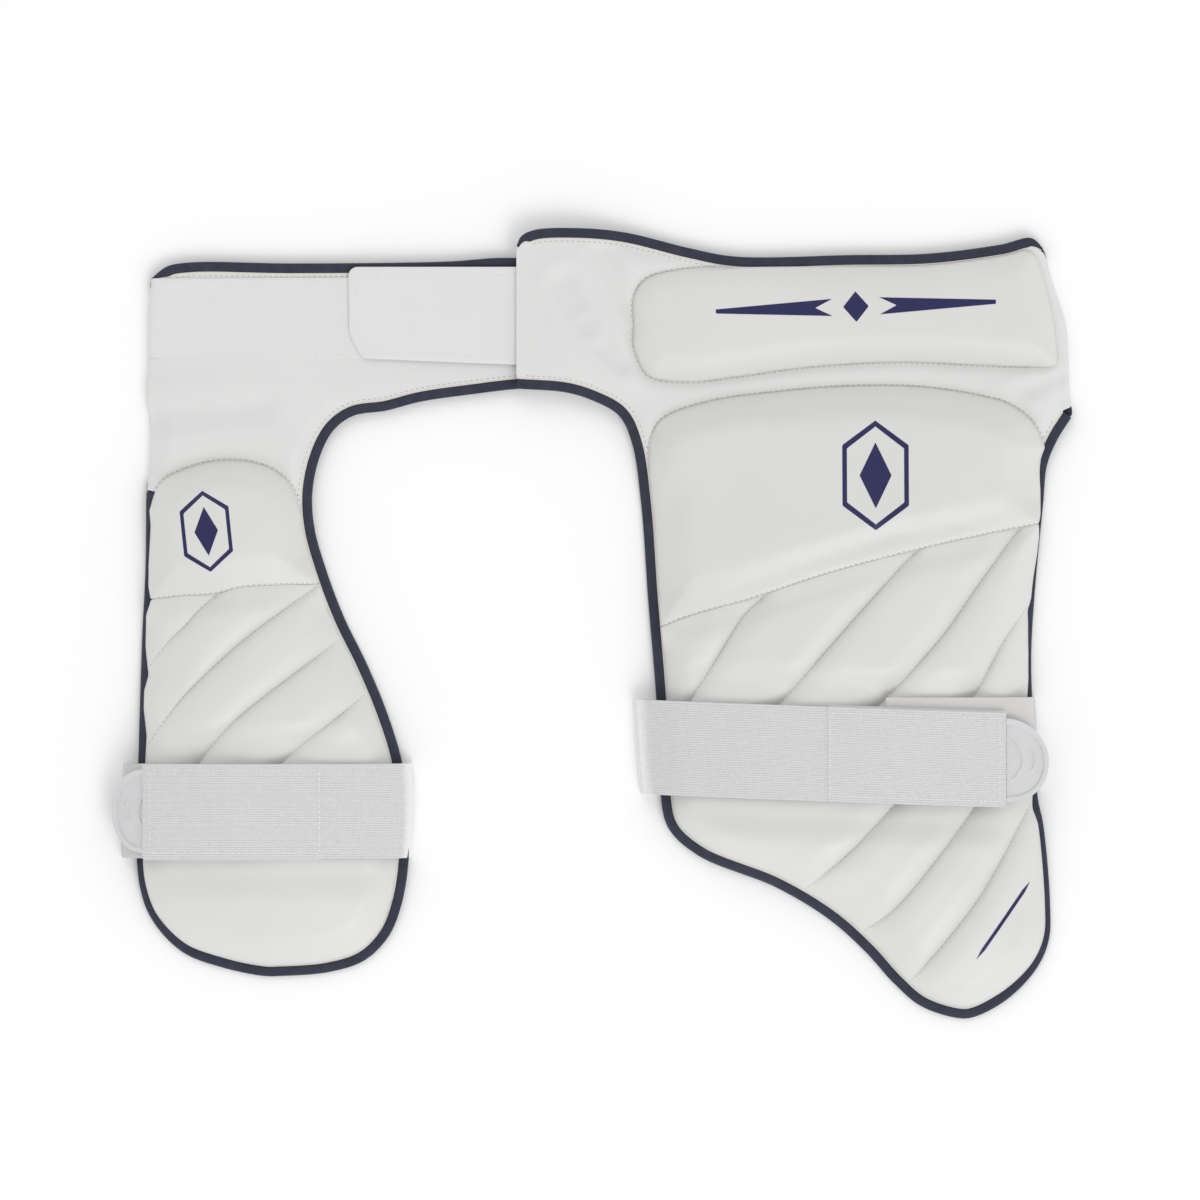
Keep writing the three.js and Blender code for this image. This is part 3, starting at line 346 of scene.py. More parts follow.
OUTER = SimpleNamespace(
    name="outer", side=1, width=205, drop=333, waist=85, wing=66, rise=17,
    level_from=0.05, level_to=0.2,
    double_from=0.478, ridge=3.4, ridge_at=7, tab_round=(1.85, 2.3), strip_shares=(-0.52, 0.49),
    hip_margins=(
        (0, 4), (0.113, 4.2), (0.16, 2.1), (0.2, 1.2), (0.215, 1.8), (0.235, 0.7), (0.262, 0.6),
        (0.3, 1.5), (0.335, 1.8), (0.352, 3.2), (0.375, 2.4), (0.42, 1.6), (0.46, 1.7), (0.502, 3),
        (0.53, 1.8), (0.63, 1.8), (0.664, 3.9), (0.69, 2.8), (0.85, 2.9), (0.92, 3.8), (1, 5.7),
    ),
    strap_drop=193, strap_tilt=0.035, strap_overhang=11.6, fold_slant=1.5,
    tab_length=23.4, tab_past=6.6, patch_length=80, patch_overhang=1.5, patch_lift=8, bed_thick=12,
    arch=wing_drop((1, 0), (0.605, 0.006), (0.387, 0.019), (0.177, 0.043), (0.073, 0.087)),
    neck=across_drop(
        (0, 0.183), (0.018, 0.335), (0.039, 0.494), (0.049, 0.638), (0.07, 0.698), (0.147, 0.742),
        (0.349, 0.793), (0.486, 0.844), (0.579, 0.895), (0.654, 0.946), (0.721, 0.981), (0.811, 1),
    ),
    hip=across_drop(
        (0.855, 1), (0.946, 0.971), (1.023, 0.921), (1.054, 0.876), (1.057, 0.819), (1.039, 0.692),
        (1.0255, 0.652), (1.016, 0.558), (1.008, 0.431), (1.016, 0.335), (1.039, 0.183), (1.049, 0.121),
        (1.075, 0.081), (1.114, 0.043),
    ),
    turn=across_up(
        (1.039, 0.875), (1.065, 0.644), (1.096, 0.419), (1.103, 0.237), (1.106, 0.006),
        (1.114, -0.17),
    ),
    top=wing_up((1, 0.887), (0.96, 0.95), (0.855, 0.988), (0.532, 1), (0.137, 0.975))
    + across_up(
        (0.129, 0.875), (0.243, 0.825), (0.54, 0.834), (0.747, 0.844), (0.93, 0.9), (1.008, 0.94),
        (1.039, 0.875),
    ),
)

INNER = SimpleNamespace(
    name="inner", side=-1, width=138, drop=311, waist=67, wing=127, rise=12,
    level_from=0.19, level_to=0.33,
    double_from=-0.039, ridge=6.2, ridge_at=14, tab_round=(2.1, 2.1), strip_shares=(-0.49, 0.52),
    hip_margins=(
        (0, 1), (0.18, 1.1), (0.232, 2.6), (0.3, 1.7), (0.335, 2.2), (0.36, 4.2), (0.385, 1.8),
        (0.44, 2.1), (0.487, 4.2), (0.513, 2.1), (0.545, 2.2), (0.59, 4.2), (0.64, 3.8), (0.82, 3.2),
        (0.9, 3.8), (0.95, 4.6), (1, 5.7),
    ),
    strap_drop=223.2, strap_tilt=0, strap_overhang=3.1, fold_slant=5.3,
    tab_length=17.5, tab_past=12.5, patch_length=60, patch_overhang=8, patch_lift=0, bed_thick=10,
    arch=wing_drop(
        (1, 0), (0.862, 0), (0.668, 0.009), (0.449, 0.022), (0.308, 0.037), (0.17, 0.046),
        (0.089, 0.07), (0.032, 0.114),
    ),
    neck=across_drop(
        (0, 0.175), (-0.008, 0.237), (-0.05, 0.305), (-0.119, 0.387), (-0.208, 0.468),
        (-0.285, 0.55), (-0.342, 0.632), (-0.369, 0.721), (-0.369, 0.802), (-0.342, 0.877),
        (-0.292, 0.932), (-0.2, 0.973), (-0.065, 0.993), (0.127, 1),
    ),
    hip=across_drop(
        (0.185, 1), (0.342, 0.986), (0.5, 0.959), (0.615, 0.905), (0.662, 0.85), (0.677, 0.751),
        (0.669, 0.632), (0.662, 0.523), (0.654, 0.414), (0.642, 0.305), (0.638, 0.175),
    ),
    turn=across_up(
        (0.619, 0.873), (0.631, 0.54), (0.631, 0.159), (0.64, -0.033), (0.622, -0.283),
        (0.627, -0.655), (0.638, -0.812),
    ),
    top=wing_up((1, 1.024), (0.777, 1.036), (0.571, 1.008))
    + across_up((0.077, 0.992), (0.465, 1), (0.558, 0.968), (0.619, 0.873)),
)
GUARDS = (OUTER, INNER)


def place(guard, row):
    """A row's place in millimetres from the middle between the guards, at the crotch line."""
    x = CROTCH_WIDTH / 2 + row.get("across", 0) * guard.width - row.get("wing", 0) * guard.wing
    return x, row.get("up", 0) * guard.waist - row.get("drop", 0) * guard.drop


def line_of(guard, table, step=1.0):
    return smooth_line([place(guard, row) for row in table], step)


def measure(guard):
    """Works out a guard's edge, its hip's turn, its waist and the line that its pads keep to."""
    guard.edge = line_of(guard, guard.arch + guard.neck + guard.hip)
    guard.turn_line = line_of(guard, guard.turn)
    guard.top_line = line_of(guard, guard.top)
    guard.tip = int(np.argmin(guard.edge[:, 1]))
    guard.neck_edge = guard.edge[: guard.tip + 1]
    guard.hip_edge = np.vstack([guard.turn_line, guard.edge[guard.tip:][::-1]])
    guard.wing_end = place(guard, {"wing": 1})[0]
    drops, margins = zip(*guard.hip_margins)
    hip_margin = np.interp(-guard.edge[:, 1] / guard.drop, drops, margins)
    margin = np.where(np.arange(len(guard.edge)) > guard.tip, hip_margin, EDGE_INSET)
    guard.pad_line = moved(guard.edge, margin)
    low = int(np.argmin(guard.pad_line[:, 1]))
    guard.neck_pads = guard.pad_line[: low + 1]
    guard.hip_pads = guard.pad_line[low:][::-1]


def taped_edge(guard):
    """The edge that the long tape covers: all but its end at the hip's turn."""
    on_neck = np.arange(len(guard.edge)) < guard.tip
    return guard.edge[(guard.edge[:, 1] < guard.turn_line[-1, 1]) | on_neck]


for each in GUARDS:
    measure(each)

SHIFT = np.array([
    TAB_HIGH.x / MM - (OUTER.wing_end + HOOK_TAB_SEWN),
    TAB_LOW.y / MM - HOOK_TAB_ABOVE,
])


def strap_middle(guard, x):
    return -guard.strap_drop - guard.strap_tilt * (x - (CROTCH_WIDTH + guard.width) / 2)


def under_strap(guard, x, y, fade):
    away = np.abs(y - strap_middle(guard, x))
    return 1 - ease(FLAT_UNDER_STRAP, FLAT_UNDER_STRAP + fade, away)


def ground(guard, x, y):
    """Height of a guard's floor side: what it lies on, and its arch over the thigh."""
    x, y = np.asarray(x, float), np.asarray(y, float)
    drop = -y / guard.drop
    left, right = x_at(guard.neck_edge, y), x_at(guard.hip_edge, y)
    across = clamp01((x - left) / (right - left))
    arched = ease(*ARCH_RISES, drop) * (1 - clamp01((drop - ARCH_FALLS) / (1 - ARCH_FALLS)) ** 3)
    settled = guard.wing_end + HOOK_TAB_SEWN
    overlap = 1 - ease(settled, settled + SETTLE_LENGTH, x) if guard is OUTER else 0
    return (
        FRONT_LEVEL * (1 - ease(guard.level_from, guard.level_to, drop))
        + OVERLAP_LIFT * overlap * (1 - ease(0, 0.1, drop))
        + STRAP_LIFT * under_strap(guard, x, y, LIFT_FADE)
        + guard.rise * arched * (1 - (2 * across - 1) ** 2)
    )


def ground_at(guard, points):
    return ground(guard, points[:, 0], points[:, 1])


def rolled(guard, points, height):
    """Height of a piece that turns down round the guard's hip, as its fabric does."""
    x, y = points[:, 0], points[:, 1]
    inward = np.maximum(x_at(guard.turn_line, y) - x, 0)
    curve = np.sqrt(np.maximum(1 - clamp01((ROLL - inward) / ROLL) ** 2, 0))
    down = HIP_TURN + (height - HIP_TURN) * curve
    start, end = (guard.turn_line[-1, 1] - fade for fade in TURN_FADE)
    return mix(height, down, ease(start, end, y))


# Meshes

def to_frame(points, side):
    out = np.array(points, float)
    out[:, 0] *= side
    out[:, :2] += SHIFT
    return out * MM


def new_piece(name, points, faces, side, material, sharp=55, uv=None):
    """A piece from points in millimetres, mirrored where side is below zero."""
    at = to_frame(points, side)
    mesh = bpy.data.meshes.new(name)
    faces = [list(map(int, f)) for f in faces]
    if side < 0:
        faces = [f[::-1] for f in faces]
    mesh.from_pydata(at.tolist(), [], faces)
    if uv is not None:
        layer = mesh.uv_layers.new(name="strip")
        corner = np.zeros(len(mesh.loops), np.int32)
        mesh.loops.foreach_get("vertex_index", corner)
        layer.data.foreach_set("uv", np.asarray(uv, np.float32)[corner].ravel())
    mesh.validate()
    mesh.shade_smooth()
    if sharp:
        mesh.set_sharp_from_angle(angle=math.radians(sharp))
    mesh.materials.append(material)
    piece = bpy.data.objects.new(name, mesh)
    bpy.context.scene.collection.objects.link(piece)
    return piece


def fill(outline, spacing, creases=()):
    """Points and triangles inside a closed outline, with edges along the creases."""
    outline = np.asarray(outline, float)
    low, high = outline.min(0), outline.max(0)
    xs = np.arange(low[0], high[0], spacing)
    ys = np.arange(low[1], high[1], spacing * math.sqrt(3) / 2)
    grid = np.array([(x + (i % 2) * spacing / 2, y) for i, y in enumerate(ys) for x in xs])
    grid = grid[inside(outline, grid)]
    lines = [np.asarray(c, float) for c in creases]
    away = np.min([distance_to(line, grid) for line in (closed(outline), *lines)], axis=0)
    keep = away > POINT_FREE * spacing
    points = [outline]
    edges = [(i, (i + 1) % len(outline)) for i in range(len(outline))]
    for crease in lines:
        crease = crease[inside(outline, crease)]
        start = sum(len(p) for p in points)
        points.append(crease)
        edges += [(start + i, start + i + 1) for i in range(len(crease) - 1)]
    points = np.vstack(points + [grid[keep]])
    found = delaunay_2d_cdt([Vector(p) for p in points], edges, [], 1, 1e-4)
    return np.array([tuple(p) for p in found[0]]), found[2], found[3]


def rim_order(sources, count):
    """Where each of an outline's points came to lie in its filled mesh."""
    order = [None] * count
    for i, found in enumerate(sources):
        for source in found:
            if source < count:
                order[source] = i
    return order


def quilt(name, outline, top, low, material, side, spacing=1.4, creases=(), low_spacing=9):
    """A closed soft body: a fine upper face, a coarse lower one and the rim between them."""
    outline = resampled_outline(outline, spacing)
    up, up_faces, up_from = fill(outline, spacing, creases)
    down, down_faces, down_from = fill(outline, low_spacing)
    count = len(outline)
    up_rim, down_rim = rim_order(up_from, count), rim_order(down_from, count)
    points = np.vstack([np.column_stack([up, top(up)]), np.column_stack([down, low(down)])])
    faces = [list(f) for f in up_faces]
    faces += [[len(up) + i for i in reversed(f)] for f in down_faces]
    turn = 1 if area_of(outline) > 0 else -1
    for i in range(count):
        j = (i + 1) % count
        quad = [up_rim[i], len(up) + down_rim[i], len(up) + down_rim[j], up_rim[j]]
        faces.append(quad[::turn])
    return new_piece(name, points, faces, side, material)


def area_of(outline):
    """Area in plan, below zero where the outline runs clockwise."""
    a, b = outline, np.roll(outline, -1, axis=0)
    return float((a[:, 0] * b[:, 1] - b[:, 0] * a[:, 1]).sum() / 2)


def sweep(name, rings, side, material, sharp=55, uv=None):
    """A closed bar through rings with the same number of points."""
    count = len(rings[0])
    points = np.vstack(rings)
    faces = []
    for i in range(len(rings) - 1):
        for j in range(count):
            a, b = i * count + j, i * count + (j + 1) % count
            faces.append([a, b, b + count, a + count])
    last = (len(rings) - 1) * count
    faces.append(list(range(count))[::-1])
    faces.append([last + j for j in range(count)])
    return turned_out(new_piece(name, points, faces, side, material, sharp, uv))


def turned_out(piece):
    """Faces of a closed piece turned to face out, by its signed volume."""
    mesh = piece.data
    mesh.calc_loop_triangles()
    at = np.array([v.co for v in mesh.vertices])
    tri = np.array([t.vertices for t in mesh.loop_triangles])
    volume = np.einsum("ij,ij->i", at[tri[:, 0]], np.cross(at[tri[:, 1]], at[tri[:, 2]])).sum()
    if volume < 0:
        mesh.flip_normals()
    return piece


def ribbon(name, lines, thick, side, material, extra=0.0):
    """A strip on its middle lines, one for each place across it, with extra on its upper side."""
    lines = np.array(lines, float)
    ahead = np.concatenate([lines[:, 1:], lines[:, -1:]], 1) - np.concatenate(
        [lines[:, :1], lines[:, :-1]], 1
    )
    normal = np.stack([-ahead[..., 2], np.zeros(ahead.shape[:2]), ahead[..., 0]], -1)
    normal /= np.maximum(np.linalg.norm(normal, axis=-1, keepdims=True), 1e-9)
    raised = np.broadcast_to(extra, ahead.shape[:2])[..., None]
    upper, lower = lines + normal * (thick / 2 + raised), lines - normal * thick / 2
    along = np.cumsum(np.linalg.norm(np.diff(lines, axis=1, prepend=lines[:, :1]), axis=-1), 1)
    across = np.broadcast_to(np.abs(lines[:, :1, 1] - lines[:1, :1, 1]), along.shape)
    uv = np.stack([along, across], -1).reshape(-1, 2)
    rows_count, columns = lines.shape[:2]
    size = rows_count * columns

    def top(i, j):
        return i * columns + j

    def bottom(i, j):
        return size + i * columns + j

    faces = []
    for i in range(rows_count - 1):
        for j in range(columns - 1):
            faces.append([top(i, j), top(i + 1, j), top(i + 1, j + 1), top(i, j + 1)])
            faces.append([bottom(i, j), bottom(i, j + 1), bottom(i + 1, j + 1), bottom(i + 1, j)])
        faces.append([top(i, 0), bottom(i, 0), bottom(i + 1, 0), top(i + 1, 0)])
        end = columns - 1
        faces.append([top(i, end), top(i + 1, end), bottom(i + 1, end), bottom(i, end)])
    for j in range(columns - 1):
        faces.append([top(0, j), top(0, j + 1), bottom(0, j + 1), bottom(0, j)])
        end = rows_count - 1
        faces.append([top(end, j), bottom(end, j), bottom(end, j + 1), top(end, j + 1)])
    points = np.vstack([upper.reshape(-1, 3), lower.reshape(-1, 3)])
    return turned_out(new_piece(name, points, faces, side, material, 55, np.vstack([uv, uv])))


# Materials

class Finish:
    """A node tree for one material, built step by step."""

    def __init__(self, name, color, roughness):
        self.material = bpy.data.materials.new(name)
        self.material.use_nodes = True
        self.nodes = self.material.node_tree.nodes
        self.links = self.material.node_tree.links
        self.shader = self.nodes["Principled BSDF"]
        self.shader.inputs["Base Color"].default_value = (*color, 1)
        self.shader.inputs["Roughness"].default_value = roughness
        self.color = color
        self.height = None

    def node(self, kind, **values):
        node = self.nodes.new(kind)
        for key, value in values.items():
            if key in node.inputs:
                node.inputs[key].default_value = value
            else:
                setattr(node, key, value)
        return node

    def link(self, a, b):
        self.links.new(a, b)

    def surface(self, **values):
        """Sets the shader's own sockets, named with underscores for spaces."""
        for key, value in values.items():
            self.shader.inputs[key.replace("_", " ")].default_value = value

    def coordinates(self, output="Object", scale=(1, 1, 1)):
        source = self.node("ShaderNodeTexCoord")
        mapping = self.node("ShaderNodeMapping")
        mapping.inputs["Scale"].default_value = scale
        self.link(source.outputs[output], mapping.inputs["Vector"])
        return mapping.outputs["Vector"]

    def mottle(self, amount, scale, detail=3):
        """Slow variation of the colour, as in a worn or dyed surface."""
        noise = self.node("ShaderNodeTexNoise", Scale=scale, Detail=detail)
        self.link(self.coordinates(), noise.inputs["Vector"])
        ramp = self.node("ShaderNodeMapRange")
        ramp.inputs["From Min"].default_value = 0.3
        ramp.inputs["From Max"].default_value = 0.7
        self.link(noise.outputs["Fac"], ramp.inputs["Value"])
        blend = self.node("ShaderNodeMix", data_type="RGBA")
        blend.inputs[6].default_value = (*[c * (1 - amount) for c in self.color], 1)
        blend.inputs[7].default_value = (*self.color, 1)
        self.link(ramp.outputs["Result"], blend.inputs["Factor"])
        self.link(blend.outputs[2], self.shader.inputs["Base Color"])
        return blend

    def relief(self, value, depth):
        """Adds to the height that the bump follows, in metres."""
        scaled = self.node("ShaderNodeMath", operation="MULTIPLY")
        self.link(value, scaled.inputs[0])
        scaled.inputs[1].default_value = depth / MM
        if self.height is None:
            self.height = scaled.outputs[0]
        else:
            total = self.node("ShaderNodeMath", operation="ADD")
            self.link(self.height, total.inputs[0])
            self.link(scaled.outputs[0], total.inputs[1])
            self.height = total.outputs[0]

    def grain(self, scale, depth, stretch=(1, 1, 1), detail=2, output="Object"):
        noise = self.node("ShaderNodeTexNoise", Scale=scale, Detail=detail)
        self.link(self.coordinates(output, stretch), noise.inputs["Vector"])
        self.relief(noise.outputs["Fac"], depth)

    def ribs(self, pitch, depth, direction, output="UV", unit=1.0):
        """Even ribs. Direction is the axis that they follow one another along."""
        wave = self.node("ShaderNodeTexWave", wave_type="BANDS", bands_direction=direction)
        wave.inputs["Scale"].default_value = math.pi / (10 * pitch * unit)
        wave.inputs["Distortion"].default_value = 0.15
        self.link(self.coordinates(output), wave.inputs["Vector"])
        self.relief(wave.outputs["Fac"], depth)
        return wave

    def done(self, strength=1.0):
        if self.height is not None:
            bump = self.node("ShaderNodeBump", Strength=strength, Distance=MM)
            self.link(self.height, bump.inputs["Height"])
            self.link(bump.outputs["Normal"], self.shader.inputs["Normal"])
        return self.material


def color_of(key):
    return tuple(getattr(settings().colors, key))[:3]


def pad_leather():
    f = Finish("pad leather", color_of("leather"), 0.46)
    f.mottle(0.02, 18)
    cells = f.node("ShaderNodeTexVoronoi", feature="DISTANCE_TO_EDGE", Scale=900)
    f.link(f.coordinates(), cells.inputs["Vector"])
    f.relief(cells.outputs["Distance"], settings().sizes.leather_grain)
    f.grain(220, 0.00004)
    f.surface(Coat_Weight=0.12, Coat_Roughness=0.4)
    return f.done(0.6)


def base_fabric():
    f = Finish("base fabric", color_of("fabric"), 0.72)
    f.mottle(0.03, 14)
    f.grain(60, 0.0001)
    f.grain(1500, 0.00004)
    f.surface(Sheen_Weight=0.15)
    return f.done(0.6)


def binding_tape():
    f = Finish("binding tape", color_of("binding"), 0.8)
    f.mottle(0.3, 160, 4)
    f.grain(1400, 0.00008)
    f.grain(90, 0.0001)
    f.surface(Specular_IOR_Level=0.3, Sheen_Weight=0.08)
    return f.done(0.8)


def edge_piping():
    f = Finish("edge piping", color_of("piping"), 0.7)
    f.mottle(0.1, 300)
    f.grain(1200, 0.00003)
    return f.done(0.5)


def woven_elastic():
    """Crossing ribs, with painted shade in the colour where they are low, that fade out where the
    elastic turns smooth round its fold.
    """
    f = Finish("woven elastic", color_of("elastic"), 0.85)
    pitch = settings().sizes.elastic_rib_pitch / MM
    ribs = f.ribs(pitch, 0.0003, "Y")
    picks = f.ribs(pitch * 0.8, 0.00012, "X")
    f.grain(1.2, 0.00006, output="UV")
    blend = f.mottle(0.05, 400, 4)
    # Painted shade in the weave: the colour is multiplied darker where the crossing ribs are low, with
    # none round the smooth fold.
    shade = f.node("ShaderNodeMix", data_type="RGBA", blend_type="MULTIPLY")
    both = f.node("ShaderNodeMath", operation="MULTIPLY")
    f.link(ribs.outputs["Fac"], both.inputs[0])
    f.link(picks.outputs["Fac"], both.inputs[1])
    split, woven = f.node("ShaderNodeSeparateXYZ"), f.node("ShaderNodeMapRange")
    woven.inputs["From Min"].default_value = STRAP_SEWN + SMOOTH_FOLD[0]
    woven.inputs["From Max"].default_value = STRAP_SEWN + SMOOTH_FOLD[1]
    f.link(f.coordinates("UV"), split.inputs[0])
    f.link(split.outputs["X"], woven.inputs["Value"])
    painted_shade_share, raised = (f.node("ShaderNodeMath", operation="MULTIPLY") for _ in range(2))
    painted_shade_share.inputs[1].default_value = 0.2
    f.link(woven.outputs["Result"], painted_shade_share.inputs[0])
    f.link(painted_shade_share.outputs[0], shade.inputs["Factor"])
    f.link(woven.outputs["Result"], raised.inputs[0])
    f.link(f.height, raised.inputs[1])
    f.height = raised.outputs[0]
    f.link(blend.outputs[2], shade.inputs[6])
    f.link(both.outputs[0], shade.inputs[7])
    f.link(shade.outputs[2], f.shader.inputs["Base Color"])
    return f.done(0.9)


def moulded_plastic():
    f = Finish("moulded plastic", color_of("moulded"), 0.3)
    f.mottle(0.02, 90)
    f.grain(500, 0.00002)
    f.surface(
        Subsurface_Weight=0.3, Subsurface_Radius=(0.004, 0.004, 0.0045), Coat_Weight=0.3,
    )
    return f.done(0.4)


def brushed_loop(name, key):
    f = Finish(name, color_of(key), 0.95)
    f.mottle(0.03, 500, 5)
    f.grain(900, 0.00012, detail=5)
    f.grain(250, 0.00006)
    f.surface(Sheen_Weight=0.2)
    return f.done(0.7)


def hook_fabric():
    f = Finish("hook tab fabric", color_of("hook"), 0.7)
    f.mottle(0.03, 30)
    f.grain(1700, 0.00006)
    f.grain(80, 0.00008)
    return f.done(0.6)


def sewing_thread(name, key):
    f = Finish(name, color_of(key), 0.6)
    f.mottle(0.2, 900)
    f.grain(3000, 0.00004)
    return f.done(0.5)


def mark_ink():
    f = Finish("mark ink", color_of("mark"), 0.4)
    f.mottle(0.15, 300)
    f.grain(900, 0.00002)
    f.surface(Specular_IOR_Level=0.3)
    return f.done(0.4)


def pale_floor():
    f = Finish("pale floor", (0.97, 0.97, 0.97), 1.0)
    f.mottle(0.01, 4)
    f.surface(Specular_IOR_Level=0.0)
    return f.done()


def studio_world(stage):
    """Soft light from all round, a little brighter from the sides than from above."""
    world = bpy.data.worlds.new("studio")
    world.use_nodes = True
    nodes, links = world.node_tree.nodes, world.node_tree.links
    source = nodes.new("ShaderNodeTexCoord")
    split = nodes.new("ShaderNodeSeparateXYZ")
    levels = nodes.new("ShaderNodeMapRange")
    levels.inputs["To Min"].default_value = 1.0
    levels.inputs["To Max"].default_value = stage.sky_top
    links.new(source.outputs["Generated"], split.inputs[0])
    links.new(split.outputs["Z"], levels.inputs["Value"])
    background = nodes["Background"]
    background.inputs["Strength"].default_value = stage.sky_strength
    links.new(levels.outputs["Result"], background.inputs["Color"])
    return world


MAKERS = {
    "leather": pad_leather,
    "fabric": base_fabric,
    "binding": binding_tape,
    "piping": edge_piping,
    "elastic": woven_elastic,
    "moulded": moulded_plastic,
    "loop": lambda: brushed_loop("brushed loop panel", "loop"),
    "strip": lambda: brushed_loop("brushed loop strip", "strip"),
    "hook": hook_fabric,
    # The grey thread is partly its own grey and partly painted shade of its stitch holes.
    "thread": lambda: sewing_thread("grey thread", "thread"),
    "white_thread": lambda: sewing_thread("white thread", "white_thread"),
    "mark": mark_ink,
}
made = {}


def material(name):
    if name not in made:
        made[name] = MAKERS[name]()
    return made[name]


def finished(piece, slot, *nodes):
    """Rides on the set's one body and stands for its nodes. Its slot is not used."""
    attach(piece, "root")
    if nodes:
        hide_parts(*nodes)


# Surfaces that later pieces lie on

def surface_of(*pieces):
    """A function from plan points in a guard's frame to the highest surface there."""
    trees = []
    for piece in pieces:
        mesh = piece.data
        trees.append(BVHTree.FromPolygons(
            [v.co for v in mesh.vertices], [p.vertices for p in mesh.polygons]
        ))
    down = Vector((0, 0, -1))

    def height(points, side, default=0.0):
        flat = to_frame(np.column_stack([points, np.zeros(len(points))]), side)
        out = []
        for x, y, _ in flat:
            hits = [t.ray_cast(Vector((x, y, RAY_HEIGHT)), down)[0] for t in trees]
            heights = [h.z / MM for h in hits if h is not None]
            out.append(max(heights) if heights else default)
        return np.array(out)

    return height


# Bases

FOLDS = [
    # guard, from and to as places in shares, reach and depth in millimetres
    (OUTER, {"wing": 0.62, "up": 0.66}, {"wing": 0.46, "up": 0.42}, 11, 2.6),
    (OUTER, {"wing": 0.4, "up": 0.36}, {"wing": 0.16, "up": 0.16}, 10, 2.4),
    (OUTER, {"wing": 0.32, "up": 0.86}, {"wing": 0.1, "up": 0.55}, 11, 2.4),
    (OUTER, {"across": 0.94, "up": -0.08}, {"across": 1.08, "up": 0.09}, 8, 1.4),
    (INNER, {"across": 0.6, "drop": 0.045}, {"across": 0.2, "drop": 0.03}, 13, 1.5),
]


def fold_depth(guard, points):
    groove, shoulder = np.zeros(len(points)), np.zeros(len(points))
    for owner, start, end, reach, depth in FOLDS:
        if owner is guard:
            away = distance_to(np.array([place(guard, start), place(guard, end)]), points)
            half = reach / 2
            groove = np.maximum(groove, depth * np.exp(-((away / half) ** 2)))
            swell = FOLD_SHOULDER * depth * np.exp(-(((away - reach) / half) ** 2))
            shoulder = np.maximum(shoulder, swell)
    room = ease(BINDING_WIDTH, BINDING_WIDTH + FOLD_FADE, from_edges(guard, points))
    return (groove - shoulder) * room * ease(0, FOLD_FADE, from_pads(guard, points))


def from_edges(guard, points):
    return np.minimum(distance_to(guard.edge, points), distance_to(guard.top_line, points))


def from_pads(guard, points):
    """Distance to the nearest pad, zero under it."""
    away = np.full(len(points), 1e3)
    for plan in pad_plans():
        if plan.guard is guard:
            to_pad = distance_to(closed(plan.outline), points)
            away = np.minimum(away, np.where(inside(plan.outline, points), 0, to_pad))
    return away


def top_tape_width(line):
    """The waist tape's width along its line: narrower at its ends, where it turns down."""
    lengths = lengths_along(line)
    to_end = np.minimum(lengths, lengths[-1] - lengths)
    return BINDING_WIDTH * mix(TAPE_END_SHARE, 1, ease(0, TAPE_END_FADE, to_end))


def base_outline(guard):
    inner = moved(guard.edge, EDGE_INSET)
    inner = inner[inner[:, 0] > guard.wing_end]
    turn = moved(guard.turn_line, -0.1)[::-1]
    inner = inner[(inner[:, 0] < x_at(turn[::-1], inner[:, 1])) | (inner[:, 1] < turn[0, 1])]
    top = moved(guard.top_line, -top_tape_width(guard.top_line) - CLEAR)[::-1]
    top = top[(top[:, 0] > guard.wing_end + 1) & (top[:, 0] < x_at(turn[::-1], top[:, 1]) - 1)]
    turn = turn[(turn[:, 1] > inner[-1, 1] + 1) & (turn[:, 1] < top[0, 1] - 1)]
    left = np.array([[guard.wing_end, top[-1, 1]], [guard.wing_end, inner[0, 1]]])
    return np.vstack([inner, turn, top, left])


def build_base(guard):
    def ridges(points):
        """The fabric stands up a little before it goes down into a pad's seam."""
        away = from_pads(guard, points)
        from_hip = np.abs(x_at(guard.turn_line, points[:, 1]) - points[:, 0])
        room = ease(BINDING_WIDTH, BINDING_WIDTH + RIDGE_FADE, from_edges(guard, points))
        room = room * ease(*RIDGE_FROM_HIP, from_hip)
        return guard.ridge * room * (away / guard.ridge_at) * np.exp(1 - away / guard.ridge_at)

    def top(points):
        height = ground_at(guard, points) + SHEET_TOP - fold_depth(guard, points)
        return rolled(guard, points, height + ridges(points))

    def low(points):
        return rolled(guard, points, ground_at(guard, points) + SHEET_LOW)

    hip_lines = [moved(guard.turn_line, -d)[4:-4] for d in (0.5, 1.0, 1.7, 2.6, 4.0)]
    piece = quilt(
        f"{guard.name}_base_fabric", base_outline(guard), top, low, material("fabric"), guard.side,
        spacing=2.0, low_spacing=6, creases=hip_lines,
    )
    finished(piece, "fabric", f"{guard.name}_base")


# Bindings

TAPE_SECTION = (
    (0, 0.02), (0, 0.9), (0.12, 1), (0.45, 1.02), (0.75, 0.96), (0.93, 0.8), (1, 0.55), (0.97, 0.3),
    (0.85, 0.1), (0.5, 0),
)


def build_binding(part, guard, line, widths=None):
    """Folded tape. Line is the set's outer edge, with the fabric to its left."""
    line = resampled(line, TAPE_STEP)
    widths = BINDING_WIDTH if widths is None else widths(line)
    normals = left_normals(line)
    sizes = settings().sizes
    along = np.arange(len(line)) * TAPE_STEP
    pucker = sizes.binding_pucker / MM * np.cos(2 * np.pi * along / (sizes.stitch_pitch / MM * 2))
    rings = []
    for out, up in TAPE_SECTION:
        plan = line + normals * np.reshape(widths * (1 - out), (-1, 1))
        swell = pucker * out * (1 - out) * 4 * up
        height = rolled(guard, plan, ground_at(guard, plan) + up * BINDING_THICK + swell)
        rings.append(np.column_stack([plan, height]))
    name = f"{guard.name}_{part}"
    piece = sweep(name + "_tape", np.stack(rings, 1), guard.side, material("binding"))
    finished(piece, "binding", name + "_binding")
    length_of(line)


# Pads. Each outline goes round between seams and the pad line.

